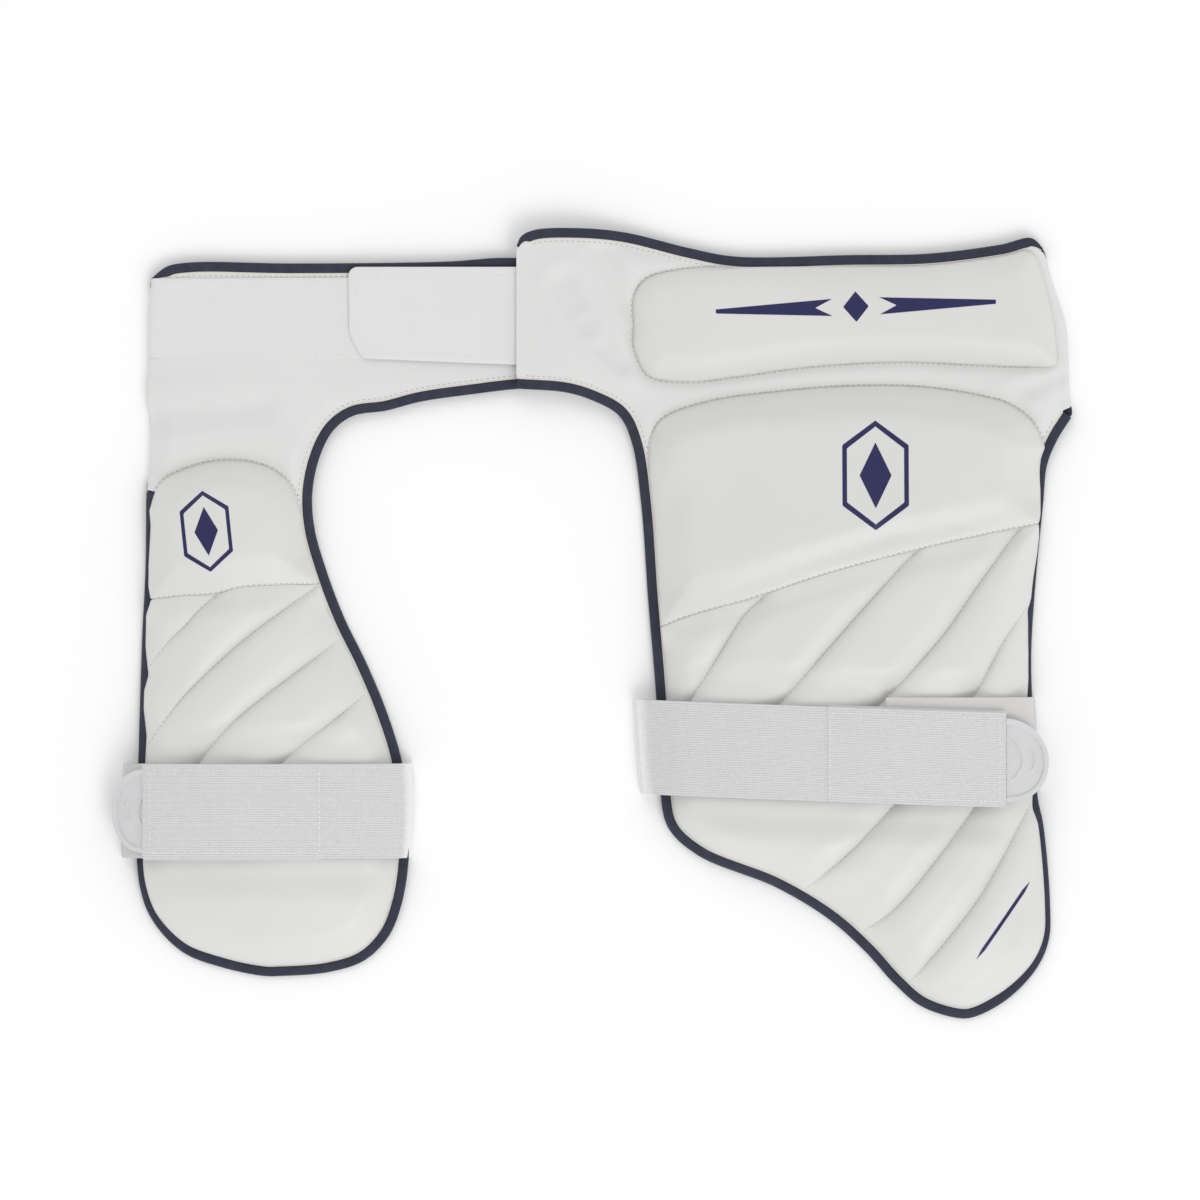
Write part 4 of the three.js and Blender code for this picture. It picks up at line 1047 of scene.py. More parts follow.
def snapped(guard, line, ends):
    """A seam whose named ends are drawn onto the pads' line."""
    out = np.array(line, float)
    for end in ends:
        away = np.linalg.norm(guard.pad_line - out[end], axis=1)
        shift = guard.pad_line[np.argmin(away)] - out[end]
        fade = clamp01(1 - np.arange(len(out)) / SNAP_POINTS)
        out += shift * (fade if end == 0 else fade[::-1])[:, None]
    return out


OUTER_BLOCK_TOP = across_drop(
    (0.019, 0.13), (0.024, 0.081), (0.054, 0.048), (0.178, 0.02), (0.333, 0.006), (0.527, -0.004),
    (0.721, -0.003), (0.876, 0.011), (0.953, 0.025), (1.01, 0.052), (1.03, 0.089),
)
OUTER_BLOCK_LOW = across_drop(
    (0.044, 0.378), (0.14, 0.358), (0.279, 0.334), (0.333, 0.323), (0.488, 0.292), (0.721, 0.254),
    (0.876, 0.233), (1.014, 0.215),
)
OUTER_CROSS_SEAM = across_drop((0.049, 0.588), (0.5, 0.588), (1.01, 0.588))
HIP_PAD_ROUND = across_up(
    (-0.02, 0.4), (-0.021, 0.556), (-0.003, 0.65), (0.023, 0.7), (0.127, 0.75), (0.243, 0.758),
    (0.54, 0.765), (0.747, 0.772), (0.93, 0.828), (1, 0.862), (1.02, 0.82), (1.05, 0.6),
    (1.072, 0.3), (1.07, 0.15), (0.995, 0.138), (0.811, 0.156), (0.68, 0.169), (0.437, 0.138),
    (0.243, 0.075), (0.127, 0.044), (0.023, 0.075), (-0.003, 0.15), (-0.021, 0.275), (-0.02, 0.4),
)
OUTER_UPPER_RIBS = (
    across_drop((0.313, 0.331), (0.264, 0.361), (0.196, 0.426), (0.132, 0.49), (0.09, 0.542),
                (0.066, 0.584)),
    across_drop((0.705, 0.26), (0.597, 0.331), (0.465, 0.423), (0.377, 0.485), (0.3, 0.542),
                (0.256, 0.584)),
    across_drop((0.972, 0.225), (0.866, 0.313), (0.78, 0.388), (0.656, 0.474), (0.553, 0.537),
                (0.47, 0.584)),
    across_drop((1.013, 0.335), (0.938, 0.397), (0.858, 0.485), (0.747, 0.584)),
    across_drop((1.01, 0.502), (0.935, 0.584)),
)
OUTER_LOWER_RIBS = (
    across_drop((0.747, 0.592), (0.638, 0.668), (0.548, 0.728), (0.42, 0.797)),
    across_drop((0.935, 0.592), (0.855, 0.666), (0.773, 0.736), (0.649, 0.827), (0.57, 0.863)),
    across_drop((1.021, 0.645), (0.979, 0.687), (0.935, 0.739), (0.871, 0.806), (0.798, 0.866),
                (0.69, 0.945)),
)
INNER_BLOCK_TOP = across_drop(
    (0.612, 0.206), (0.596, 0.17), (0.565, 0.153), (0.512, 0.141), (0.388, 0.124), (0.242, 0.124),
    (0.135, 0.141), (0.075, 0.168), (0.044, 0.21),
)
INNER_BLOCK_LOW = across_drop(
    (0.612, 0.359), (0.512, 0.353), (0.377, 0.349), (0.269, 0.338), (0.135, 0.334), (-0.03, 0.332),
)
INNER_CROSS_SEAM = across_drop((0.64, 0.7235), (0.1, 0.7235), (-0.33, 0.7235))
INNER_UPPER_RIBS = (
    across_drop((0.365, 0.351), (0.427, 0.376), (0.481, 0.402), (0.554, 0.433), (0.627, 0.474)),
    across_drop((-0.02, 0.336), (0.096, 0.373), (0.277, 0.434), (0.473, 0.516), (0.538, 0.549),
                (0.63, 0.606)),
    across_drop((-0.115, 0.424), (0.058, 0.482), (0.223, 0.538), (0.327, 0.579), (0.427, 0.634),
                (0.53, 0.718)),
    across_drop((-0.22, 0.514), (-0.112, 0.554), (0.058, 0.613), (0.196, 0.675), (0.288, 0.719)),
)


def seam(guard, table, ends=(0, -1)):
    return snapped(guard, line_of(guard, table), ends)


def side_part(guard, side, above, below):
    line = guard.hip_pads if side == "hip" else guard.neck_pads
    return line[(line[:, 1] < above - SEAM_GAP) & (line[:, 1] > below + SEAM_GAP)]


def round_outline(guard, upper, lower=None):
    """From the upper seam down the hip side, back along the lower seam and up the neck side."""
    hip_low, neck_low = (lower[-1, 1], lower[0, 1]) if lower is not None else (-1e3, -1e3)
    parts = [upper, side_part(guard, "hip", upper[-1, 1], hip_low)]
    if lower is not None:
        parts.append(lower[::-1])
    parts.append(side_part(guard, "neck", upper[0, 1], neck_low)[::-1])
    return np.vstack(parts)


plans = []


def pad_plans():
    """Each pad's outline, thickness, channels, and height at the seams that it shares."""
    if plans:
        return plans

    def plan(name, guard, outline, thick, shared=(), seam_share=0.3, ribs=(), reach=22):
        plans.append(SimpleNamespace(
            name=name, guard=guard, outline=resampled_outline(outline, OUTLINE_STEP), thick=thick,
            shared=shared, seam_share=seam_share, ribs=ribs, reach=reach,
        ))

    block_top, block_low = seam(OUTER, OUTER_BLOCK_TOP), seam(OUTER, OUTER_BLOCK_LOW)
    cross = seam(OUTER, OUTER_CROSS_SEAM)
    hip = line_of(OUTER, HIP_PAD_ROUND)[:-1]
    plan("outer_hip_pad", OUTER, hip, 8, reach=16)
    plan("outer_thigh_block", OUTER, round_outline(OUTER, block_top, block_low), 13, [block_low], 0.66)
    plan("outer_ribbed_pad", OUTER, round_outline(OUTER, block_low, cross), 12, [block_low, cross],
         0.74, OUTER_UPPER_RIBS, 14)
    plan("outer_lower_pad", OUTER, round_outline(OUTER, cross), 11, [cross], 0.7,
         OUTER_LOWER_RIBS, 14)
    top, low = seam(INNER, INNER_BLOCK_TOP)[::-1], seam(INNER, INNER_BLOCK_LOW)[::-1]
    inner_cross = seam(INNER, INNER_CROSS_SEAM)[::-1]
    plan("inner_upper_block", INNER, round_outline(INNER, top, low), 11, [low], 0.62, reach=19)
    plan("inner_ribbed_pad", INNER, round_outline(INNER, low, inner_cross), 10, [low, inner_cross],
         0.7, INNER_UPPER_RIBS, 14)
    plan("inner_lower_pad", INNER, round_outline(INNER, inner_cross), 10, [inner_cross], 0.7,
         reach=17)
    return plans


def evaluated_mesh(piece):
    """The mesh that a piece's modifiers give, which are taken off it."""
    depsgraph = bpy.context.evaluated_depsgraph_get()
    mesh = bpy.data.meshes.new_from_object(piece.evaluated_get(depsgraph))
    piece.modifiers.clear()
    return mesh


def simulated_crown(plan, top, low):
    """How far the pad's cover swells when it is stuffed, from a cloth simulation of its form."""
    outline = resampled_outline(plan.outline, CROWN_STEP)
    form = quilt("crown_form", outline, top, low, material("leather"), 1, spacing=5, low_spacing=8)
    remesh = form.modifiers.new("remesh", "REMESH")
    remesh.mode = "VOXEL"
    remesh.voxel_size = REMESH_SIZE * MM
    form.data = evaluated_mesh(form)
    seat = (low(plan.outline).min() + 1.0) * MM
    held = form.vertex_groups.new(name="held")
    held.add([v.index for v in form.data.vertices if v.co.z < seat], 1.0, "REPLACE")
    cloth = form.modifiers.new("cloth", "CLOTH")
    cloth.settings.vertex_group_mass = "held"
    cloth.settings.use_pressure = True
    cloth.settings.uniform_pressure_force = CLOTH_PRESSURE
    cloth.settings.effector_weights.gravity = 0
    cloth.settings.quality = CLOTH_QUALITY
    scene = bpy.context.scene
    before = surface_of(form)
    for number in range(1, SIMULATION_FRAMES + 1):
        scene.frame_set(number)
    form.data = evaluated_mesh(form)
    scene.frame_set(1)
    after = surface_of(form)
    step = CROWN_STEP
    corner, far = plan.outline.min(0) - step, plan.outline.max(0) + step
    xs, ys = np.arange(corner[0], far[0], step), np.arange(corner[1], far[1], step)
    grid = np.array([(x, y) for y in ys for x in xs])
    rise = CROWN_CAP * np.tanh((after(grid, 1) - before(grid, 1)) / CROWN_CAP)
    rise = np.where(inside(plan.outline, grid), rise, 0).reshape(len(ys), len(xs))
    for _ in range(2):
        soft = np.pad(rise, 1, mode="edge")
        rise = sum(soft[i:i + len(ys), j:j + len(xs)] for i in range(3) for j in range(3)) / 9
    bpy.data.objects.remove(form)

    def crown(points):
        u = np.clip((points[:, 0] - corner[0]) / step, 0, len(xs) - 1.001)
        v = np.clip((points[:, 1] - corner[1]) / step, 0, len(ys) - 1.001)
        i, j = v.astype(int), u.astype(int)
        fu, fv = u - j, v - i
        return mix(
            mix(rise[i, j], rise[i, j + 1], fu), mix(rise[i + 1, j], rise[i + 1, j + 1], fu), fv,
        )

    return crown


def build_pad(plan):
    sizes = settings().sizes
    guard = plan.guard
    turn = -1 if area_of(plan.outline) < 0 else 1
    outline = moved(plan.outline, COVER_INSET * turn)
    rim = closed(outline)
    channels = [line_of(guard, rib) for rib in plan.ribs]

    def seat(points):
        return ground_at(guard, points) + PAD_LOW

    def low(points):
        return ground_at(guard, points) + SHEET_TOP - PAD_UNDER

    def pressed(points):
        return under_strap(guard, points[:, 0], points[:, 1], PRESS_FADE)

    def smooth_top(points):
        share, reach = EDGE_HEIGHT, plan.reach
        if plan.shared:
            away = np.min([distance_to(line, points) for line in plan.shared], axis=0)
            near = 1 - ease(0, SEAM_REACH, away)
            share, reach = mix(share, plan.seam_share, near), mix(reach, SEAM_ROUND, near)
        rise = 1 - (1 - clamp01(distance_to(rim, points) / reach)) ** EDGE_POWER
        full = mix(share, 1, rise) * (1 - STRAP_PRESS * pressed(points))
        return seat(points) + plan.thick * full

    crown = simulated_crown(plan, smooth_top, low)

    def top(points):
        swell = crown(points) * ease(0, CROWN_FADE, distance_to(rim, points))
        swell = swell * (1 - pressed(points))
        height = smooth_top(points) - seat(points) + swell
        for line in channels:
            away = distance_to(line, points)
            pillow = 1 - (1 - clamp01(away / (sizes.rib_round / MM))) ** RIB_POWER
            crease = CREASE_SHARE * np.exp(-((away / CREASE_REACH) ** 2))
            height = height * (mix(1 - sizes.rib_depth, 1, pillow) - crease)
        return seat(points) + height

    piece = quilt(
        plan.name + "_cover", outline, top, low, material("leather"), guard.side,
        creases=channels, spacing=1.5,
    )
    finished(piece, "leather", plan.name)


# Straps, loop strips and moulded tabs

def bed(guard, x, y):
    """What a strap lies on: the pads, and the binding beside them."""
    inside_by = np.minimum(x - x_at(guard.neck_pads, y), x_at(guard.hip_pads, y) - x)
    level = ground(guard, x, y)
    crown = bulge(np.maximum(inside_by + BED_MARGIN, 0), PAD_EDGE_ROUND)
    full = guard.bed_thick * (1 - STRAP_PRESS) * mix(PAD_EDGE_SHARE, 1, crown)
    beside, over = level + BINDING_THICK, level + PAD_LOW + full
    return np.where(inside_by < -BED_MARGIN, beside, over) + STRAP_CLEAR


def taut(points):
    """The upper hull of points in order, as a strap pulled tight over them."""
    hull = []
    for x, z in points:
        while len(hull) > 1:
            (ax, az), (bx, bz) = hull[-2], hull[-1]
            if (bx - ax) * (z - az) < (bz - az) * (x - ax):
                break
            hull.pop()
        hull.append((x, z))
    return np.array(hull)


def height_on(hull, x):
    return np.interp(x, hull[:, 0], hull[:, 1])


def front_hull(fold, inward, front, thick, surface, y):
    """A strip's fold and the line that it takes over what lies under its front."""
    turn = thick * STRIP_TURN
    start = fold + inward * (turn + thick / 2)
    x = mix(start, front, close_at_ends(HULL_POINTS))
    z = surface(x, np.full(len(x), y)) + thick * STRIP_REST
    z[0] = thick / 2 + 2 * turn
    return turn, start, taut(np.column_stack([x * inward, z]))


def strip_line(guard, fold, inward, front, thick, surface, y, more=()):
    """A strip's middle line: behind the base from its sewn end, round the fold, over the front."""
    turn, start, hull = front_hull(fold, inward, front, thick, surface, y)
    share = np.linspace(0, 1, BACK_POINTS)
    back_x = mix(fold + inward * STRAP_SEWN, fold + inward * thick, share)
    under = ground(guard, back_x, np.full(BACK_POINTS, y)) - CLEAR
    back_z = mix(np.maximum(under, thick + CLEAR) - thick / 2, thick / 2, ease(0.5, 1, share))
    angle = np.radians(np.linspace(-70, 70, BEND_POINTS))
    bend_x = start - inward * turn * np.cos(angle)
    bend_z = thick / 2 + turn + turn * np.sin(angle)
    run = np.concatenate([mix(start, front, close_at_ends(FRONT_POINTS)), more])
    run = np.sort(run * inward) * inward
    run_z = height_on(hull, run * inward)
    x = np.concatenate([back_x, bend_x, run])
    z = np.concatenate([back_z, bend_z, run_z])
    return np.column_stack([x, np.full(len(x), y), z])


def hip_at(guard, y):
    return float(x_at(guard.hip_edge, y))


def tab_tip(guard):
    return hip_at(guard, -guard.strap_drop) + guard.tab_past


def strap_end(guard):
    return tab_tip(guard) - guard.tab_length


def patch_fold(guard, y):
    return hip_at(guard, y) + guard.patch_overhang


def patch_shape(guard, y):
    """The loop strip's fold, direction, front end, thickness, bed and place along the guard."""
    fold = patch_fold(guard, y)
    return fold, -1, fold - guard.patch_length, PATCH_THICK, partial(bed, guard), y


def over_patch(guard, x, y):
    """Top of the loop strip, or of the pads beyond it."""
    fold, inward, front, thick, surface, _ = patch_shape(guard, y)
    hull = front_hull(fold, inward, front, thick, surface, y)[2]
    top = height_on(hull, -x) + PATCH_THICK / 2 + 3 * CLEAR
    return np.where(x < front, bed(guard, x, np.full(len(x), y)), top)


def build_loop_patch(guard):
    middle = strap_middle(guard, strap_end(guard)) + guard.patch_lift
    lines = [strip_line(guard, *patch_shape(guard, middle - s * STRAP_WIDTH)) for s in ACROSS]
    piece = ribbon(f"{guard.name}_loop_strip", lines, PATCH_THICK, guard.side, material("strip"))
    finished(piece, "loop", f"{guard.name}_loop_patch")
    declare_strip(guard, lines)


def declare_strip(guard, lines, width=STRAP_WIDTH):
    length = float(np.mean([length_of(line) for line in lines]))


def double_start(guard):
    return place(guard, {"across": guard.double_from})[0]


def strap_path(guard, share):
    """The elastic's middle line at a share of its width, from its sewn end to the tab."""
    y = -guard.strap_drop - share * STRAP_WIDTH
    fold = float(x_at(guard.neck_edge, y)) - guard.strap_overhang + share * guard.fold_slant

    def tilted(x, y):
        return y + strap_middle(guard, x) + guard.strap_drop

    def surface(x, y):
        return np.array([
            over_patch(guard, x[i:i + 1], at)[0] for i, at in enumerate(tilted(x, y))
        ])

    step = double_start(guard) + np.array(DOUBLE_POINTS)
    path = strip_line(guard, fold, 1, strap_end(guard), STRAP_THICK, surface, y, step)
    path[:, 1] = tilted(path[:, 0], y)
    return path


def build_strap(guard):
    lines = np.array([strap_path(guard, share) for share in ACROSS])
    on_front = np.arange(lines.shape[1]) >= STRAP_FRONT_FROM
    start = double_start(guard)
    doubled = ease(start - DOUBLE_EDGE, start + DOUBLE_EDGE, lines[..., 0]) * on_front
    piece = ribbon(
        f"{guard.name}_elastic", lines, STRAP_THICK, guard.side, material("elastic"),
        DOUBLE_LAYER * doubled,
    )
    finished(piece, "elastic", f"{guard.name}_strap")
    declare_strip(guard, lines)


def build_hook_strip(guard):
    """The hook strip under the elastic's doubled end, that shows a little past one edge."""
    lines = []
    for share in np.linspace(*guard.strip_shares, 9):
        path = strap_path(guard, share)[STRAP_FRONT_FROM:]
        path = path[path[:, 0] > double_start(guard) + 0.5]
        path[:, 2] -= STRAP_THICK / 2 + HOOK_STRIP_THICK
        lines.append(resampled(path, count=40))
    piece = ribbon(
        f"{guard.name}_hook_strip", lines, HOOK_STRIP_THICK, guard.side, material("hook"),
    )
    finished(piece, "elastic")
    declare_strip(guard, lines, STRAP_WIDTH * float(np.ptp(guard.strip_shares)))


def tab_outline(guard, start, tip, middle):
    """A tab's round end, its two sides each with the guard's own roundness."""
    t = np.sin(np.linspace(0, np.pi / 2, 40))
    x = mix(start, tip, t)
    over, under = (np.maximum(1 - t**n, 0) ** (1 / n) * TAB_WIDTH / 2 for n in guard.tab_round)
    upper = np.column_stack([x, middle + over])
    lower = np.column_stack([x, middle - under])[:-1]
    return np.vstack([upper, lower[::-1]])


def build_pull_tab(guard):
    start, tip = strap_end(guard) + 2 * CLEAR, tab_tip(guard)
    middle = float(strap_middle(guard, start))
    outline = tab_outline(guard, start, tip, middle)
    stations = np.linspace(start, tip, 12)
    highest = []
    for x in stations:
        ys = middle + np.linspace(-0.5, 0.5, 5) * TAB_WIDTH
        ends = [min(x, patch_fold(guard, y) - 2 * PATCH_THICK) for y in ys]
        over = [over_patch(guard, np.array([end]), y)[0] for end, y in zip(ends, ys)]
        highest.append(max(over) + CLEAR)
    hull = taut(np.column_stack([stations, highest]))
    arcs = settings().sizes.tab_arc_height / MM

    def level(points):
        return height_on(hull, points[:, 0])

    def top(points):
        away = distance_to(outline, points)
        off_middle = np.abs(points[:, 1] - middle)
        from_tip = tip - points[:, 0] - TAB_ARC_BEND * off_middle**2
        rings = 1 - ease(*TAB_RIM, away)
        for at, reach in TAB_ARCS:
            near = np.exp(-((from_tip - at) / TAB_ARC_HALF) ** 2) * ease(*TAB_ARC_CLEAR, away)
            rings = rings + near * (1 - ease(reach - TAB_ARC_END, reach, off_middle))
        return level(points) + TAB_THICK - 0.5 * arcs + arcs * rings

    piece = quilt(
        f"{guard.name}_moulded_tab", outline, top, level, material("moulded"), guard.side,
        spacing=0.5, low_spacing=4,
    )
    finished(piece, "moulded", f"{guard.name}_pull_tab")


# Waist closure and back band

def flat_outline(x0, x1, y0, y1, corner):
    """A rectangle with two rounded corners on its left."""
    turn = np.linspace(0, np.pi / 2, 9)
    sine, cosine = corner * np.sin(turn), corner * np.cos(turn)
    low = np.column_stack([x0 + corner - sine, y0 + corner - cosine])
    top = np.column_stack([x0 + corner - cosine, y1 - corner + sine])
    return np.vstack([[[x1, y0]], low, top, [[x1, y1]]])


def build_loop_panel():
    low, high = LOOP_PANEL_BOTTOM * INNER.waist, LOOP_PANEL_TOP * INNER.waist
    hip = INNER.turn_line[(INNER.turn_line[:, 1] > low) & (INNER.turn_line[:, 1] < high)][::-1]
    start = INNER.wing_end + LOOP_PANEL_UNDER
    outline = np.vstack([[[start, low]], moved(hip, 0.1), [[start, high]]])
    level = FRONT_LEVEL + LOOP_PANEL_LOW
    nap = np.random.default_rng(NAP_SEED)
    rim = closed(outline)

    def under(points):
        return rolled(INNER, points, np.full(len(points), level)) - 0.1

    def top(points):
        edge = 1 - 0.5 * (1 - ease(0, PANEL_EDGE, distance_to(rim, points)))
        rise = LOOP_PANEL_THICK * edge + nap.normal(0, NAP_HEIGHT, len(points))
        return rolled(INNER, points, level + rise) + 0.05

    piece = quilt(
        "loop_panel_pile", outline, top, under, material("loop"), INNER.side, spacing=1.6,
        low_spacing=4, creases=[moved(hip, d)[2:-2] for d in (0.6, 1.2, 2.0, 3.0)],
    )
    finished(piece, "loop", "waist_loop_panel")


def hook_tab_ends():
    return OUTER.wing_end - HOOK_TAB_REACH, OUTER.wing_end + HOOK_TAB_SEWN


def shaped_tab(points):
    """Points of a plain rectangle drawn to the hook tab's cut corner and slanting lower edge."""
    x0, x1 = hook_tab_ends()
    x, y = points.T
    along = (x - x0) / (x1 - x0)
    down = (HOOK_TAB_ABOVE + HOOK_TAB_HEIGHT - y) / HOOK_TAB_HEIGHT
    cut = HOOK_TAB_SLANT * down + HOOK_TAB_CUT * ease(0.68, 1, down)
    slant = HOOK_TAB_TAPER * down * (along - 0.5)
    return np.column_stack([x + cut * clamp01(1 - along) ** 4, y - slant])


def build_hook_tab():
    edges = HOOK_TAB_ABOVE, HOOK_TAB_ABOVE + HOOK_TAB_HEIGHT
    outline = flat_outline(*hook_tab_ends(), *edges, HOOK_TAB_CORNER)
    outline = shaped_tab(resampled_outline(outline))
    level = FRONT_LEVEL + HOOK_TAB_LOW
    rim = closed(outline)

    def top(points):
        away = distance_to(rim, points)
        edge = 1 - 0.35 * (1 - ease(0, TAB_EDGE, away))
        drawn_in = DRAWN_IN * np.exp(-((away - HOOK_TAB_STITCH_INSET) / DRAWN_HALF) ** 2)
        return level + HOOK_TAB_THICK * edge - drawn_in

    def low(points):
        return np.full(len(points), level)

    piece = quilt("hook_tab_cover", outline, top, low, material("hook"), OUTER.side, spacing=1.0)
    finished(piece, "fabric", "waist_hook_tab")


BAND_LINE = (
    # share from hip to hip, upper and lower edge as shares of the inner guard's waist
    (0.06, 0.86, -0.58), (0.16, 0.82, -0.09), (0.24, 0.82, 0.06), (0.53, 0.82, 0.06),
    (0.75, 0.86, -0.02), (0.86, 0.94, -0.1), (0.94, 1, -0.16),
)


def band_edges():
    def curve(first, column, last):
        between = [(row[0], row[column] * INNER.waist) for row in BAND_LINE]
        return smooth_line([(0, first), *between, (1, last)], count=200)

    ends = [(g.turn_line[0, 1], g.turn_line[-1, 1]) for g in (INNER, OUTER)]
    return curve(ends[0][0], 1, ends[1][0]), curve(ends[0][1], 2, ends[1][1])


def band_stations(back_middle, front_middle):
    """Share, side, distance in from the hip, height and direction of each station."""
    radius, centre = (front_middle - back_middle) / 2, (front_middle + back_middle) / 2
    turn = [
        (HIP_TURN - radius * math.cos(a), centre + radius * math.sin(a), math.cos(a), math.sin(a))
        for a in np.radians(np.linspace(8, -75, 9))
    ]
    left = [(0, *s) for s in turn]
    right = [(1, *s) for s in turn[::-1]]
    flat = [(share, None, back_middle, 0.0, -1.0) for share in np.linspace(0, 1, BAND_COLUMNS)]
    return left + flat + right


def band_point(station, y, shift):
    """A place of the band at a station, shifted off its middle layer."""
    share, inward, z, out, up = station
    left, right = -float(x_at(INNER.turn_line, y)), float(x_at(OUTER.turn_line, y))
    if inward is None:
        return mix(left + HIP_TURN, right - HIP_TURN, share), y, z + shift * up
    inward -= shift * out
    return (right - inward if share else left + inward), y, z + shift * up


def build_back_band():
    stations = band_stations(SHEET / 2, FRONT_LEVEL + SHEET_LOW + SHEET / 2)
    top, low = band_edges()
    columns = []
    for station in stations:
        high = height_on(top, station[0]) - EDGE_INSET
        deep = height_on(low, station[0]) + EDGE_INSET
        columns.append([
            [band_point(station, y, s) for y in np.linspace(high, deep, BAND_ROWS)]
            for s in (SHEET / 2, -SHEET / 2)
        ])
    rings = [np.array(upper + lower[::-1]) for upper, lower in columns]
    piece = sweep("back_band_fabric", rings, 1, material("fabric"))
    finished(piece, "fabric", "back_band")


def build_band_binding(name, curve, outward):
    stations = band_stations(BINDING_THICK / 2, FRONT_LEVEL + BINDING_THICK / 2)
    rings = []
    for station in stations:
        edge = height_on(curve, station[0])
        rings.append(np.array([
            band_point(station, edge - outward * BINDING_WIDTH * (1 - out), (up - 0.5) * BINDING_THICK)
            for out, up in TAPE_SECTION
        ]))
    piece = sweep(name + "_tape", rings, 1, material("binding"))
    finished(piece, "binding", name)
    length_of(np.array([ring.mean(0) for ring in rings]))


# Stitching and marks

# A stitch's five rings: place along it, width, and depth below its line
STITCH_RINGS = ((-0.5, 0.35, 0.7), (-0.3, 0.85, 0.1), (0, 1, 0), (0.3, 0.85, 0.1), (0.5, 0.35, 0.7))
STITCH_SIDES = 6


def stitched(name, slot, paths, thread="thread", longer=1, thicker=1):
    """Small rounded stitches laid along paths of points with heights."""
    sizes = settings().sizes
    pitch = sizes.stitch_pitch / MM
    length, radius = longer * (sizes.stitch_length / MM), thicker * (sizes.stitch_radius / MM)
    places, swells, sinks = zip(*STITCH_RINGS)
    points, faces = [], []
    ring = STITCH_SIDES
    for path, side in paths:
        lengths = lengths_along(path)
        for start in np.arange(pitch / 2, lengths[-1] - pitch / 2, pitch):
            stations = start + length * np.array(places)
            at = np.column_stack([np.interp(stations, lengths, path[:, k]) for k in range(3)])
            ahead = at[-1] - at[0]
            ahead /= max(np.linalg.norm(ahead), 1e-9)
            sideways = np.cross(ahead, (0, 0, 1))
            sideways /= max(np.linalg.norm(sideways), 1e-9)
            upward = np.cross(sideways, ahead)
            first = len(points)
            for p, swell, sink in zip(at, swells, sinks):
                for k in range(ring):
                    a = 2 * np.pi * k / ring
                    offset = swell * radius * (math.cos(a) * sideways + math.sin(a) * upward)
                    q = p + offset - sink * radius * upward
                    points.append((side * q[0], q[1], q[2]))
            last = first + (len(places) - 1) * ring
            for low in range(first, last, ring):
                for k in range(ring):
                    a, b = low + k, low + (k + 1) % ring
                    faces.append([a, b, b + ring, a + ring])
            faces.append([first + k for k in range(ring)][::-1])
            faces.append([last + k for k in range(ring)])
    finished(new_piece(name, points, faces, 1, material(thread), 0), slot)


def on_top(surface, line, side):
    return np.column_stack([line, surface(line, side) + STITCH_LIFT]), side


def build_piping(name, guard, line, inset):
    """The thin light line between the tape and the fabric."""
    line = resampled(moved(line, inset + CLEAR / 2), 1.0)
    normals = left_normals(line)
    height = rolled(guard, line, ground_at(guard, line) + SHEET_TOP - fold_depth(guard, line))
    rings = []
    for angle in np.linspace(0, 2 * np.pi, 8, endpoint=False):
        plan = line + normals * PIPING_RADIUS * math.cos(angle)
        rings.append(np.column_stack([plan, height + PIPING_RADIUS * math.sin(angle)]))
    finished(sweep(name, np.stack(rings, 1), guard.side, material("piping"), 0), "fabric")


def clear_runs(line, outlines):
    """Parts of a line that lie outside all outlines."""
    free = ~np.any([inside(outline, line) for outline in outlines], axis=0)
    cuts = np.flatnonzero(np.diff(free.astype(int))) + 1
    runs = zip(np.split(line, cuts), np.split(free, cuts))
    return [run for run, is_free in runs if is_free[0] and len(run) > 4]


def printed(name, guard, shapes, surface):
    """Thin printed shapes on the pads below them, as closed plates."""
    points, faces = [], []
    for shape in shapes:
        rim = resampled_outline(shape, MARK_STEP)
        if area_of(rim) < 0:
            rim = rim[::-1]
        at, tris, sources = fill(rim, MARK_FILL)
        count, first = len(at), len(points)
        z = surface(at, guard.side)
        points += np.column_stack([at, z + MARK_LIFT]).tolist()
        points += np.column_stack([at, z - 2 * MARK_LIFT]).tolist()
        faces += [[first + i for i in tri] for tri in tris]
        faces += [[first + count + i for i in tri[::-1]] for tri in tris]
        order = rim_order(sources, len(rim))
        for a, b in zip(order, order[1:] + order[:1]):
            faces.append([first + b, first + a, first + count + a, first + count + b])
    finished(new_piece(name, points, faces, guard.side, material("mark"), 30), "leather")


def set_at(guard, row, shape, angle=0.0):
    """A shape about the origin, turned and moved to a place of the guard."""
    c, s = math.cos(math.radians(angle)), math.sin(math.radians(angle))
    turned = np.asarray(shape, float) @ np.array([[c, s], [-s, c]])
    return turned + np.array(place(guard, row))


def hexagon(width, height):
    w, h = width / 2, height / 2
    return np.array([(0, h), (w, 0.55 * h), (w, -0.55 * h), (0, -h), (-w, -0.55 * h), (-w, 0.55 * h)])


def plain_badge(width, height, line):
    """A tall six-sided ring in two halves round a lozenge."""
    outer, inner = hexagon(width, height), hexagon(width - 2 * line, height - 2.6 * line)
    right = np.vstack([outer[:4], inner[3::-1]])
    left = right * (-1, 1)
    lozenge = np.array([(0, 0.3), (0.24, 0), (0, -0.3), (-0.24, 0)]) * (width, height)
    return [right, left, lozenge]


def plain_bars(length, height):
    """Two tapered bars with a lozenge between them."""
    tip, gap = length / 2, 0.085 * length
    bar = np.array([(gap, height / 2), (gap + height, 0), (gap, -height / 2), (tip, -0.12 * height),
                    (tip, 0.12 * height)])
    lozenge = np.array([(0, 0.9), (0.75, 0), (0, -0.9), (-0.75, 0)]) * height
    return [bar, bar * (-1, 1), lozenge]


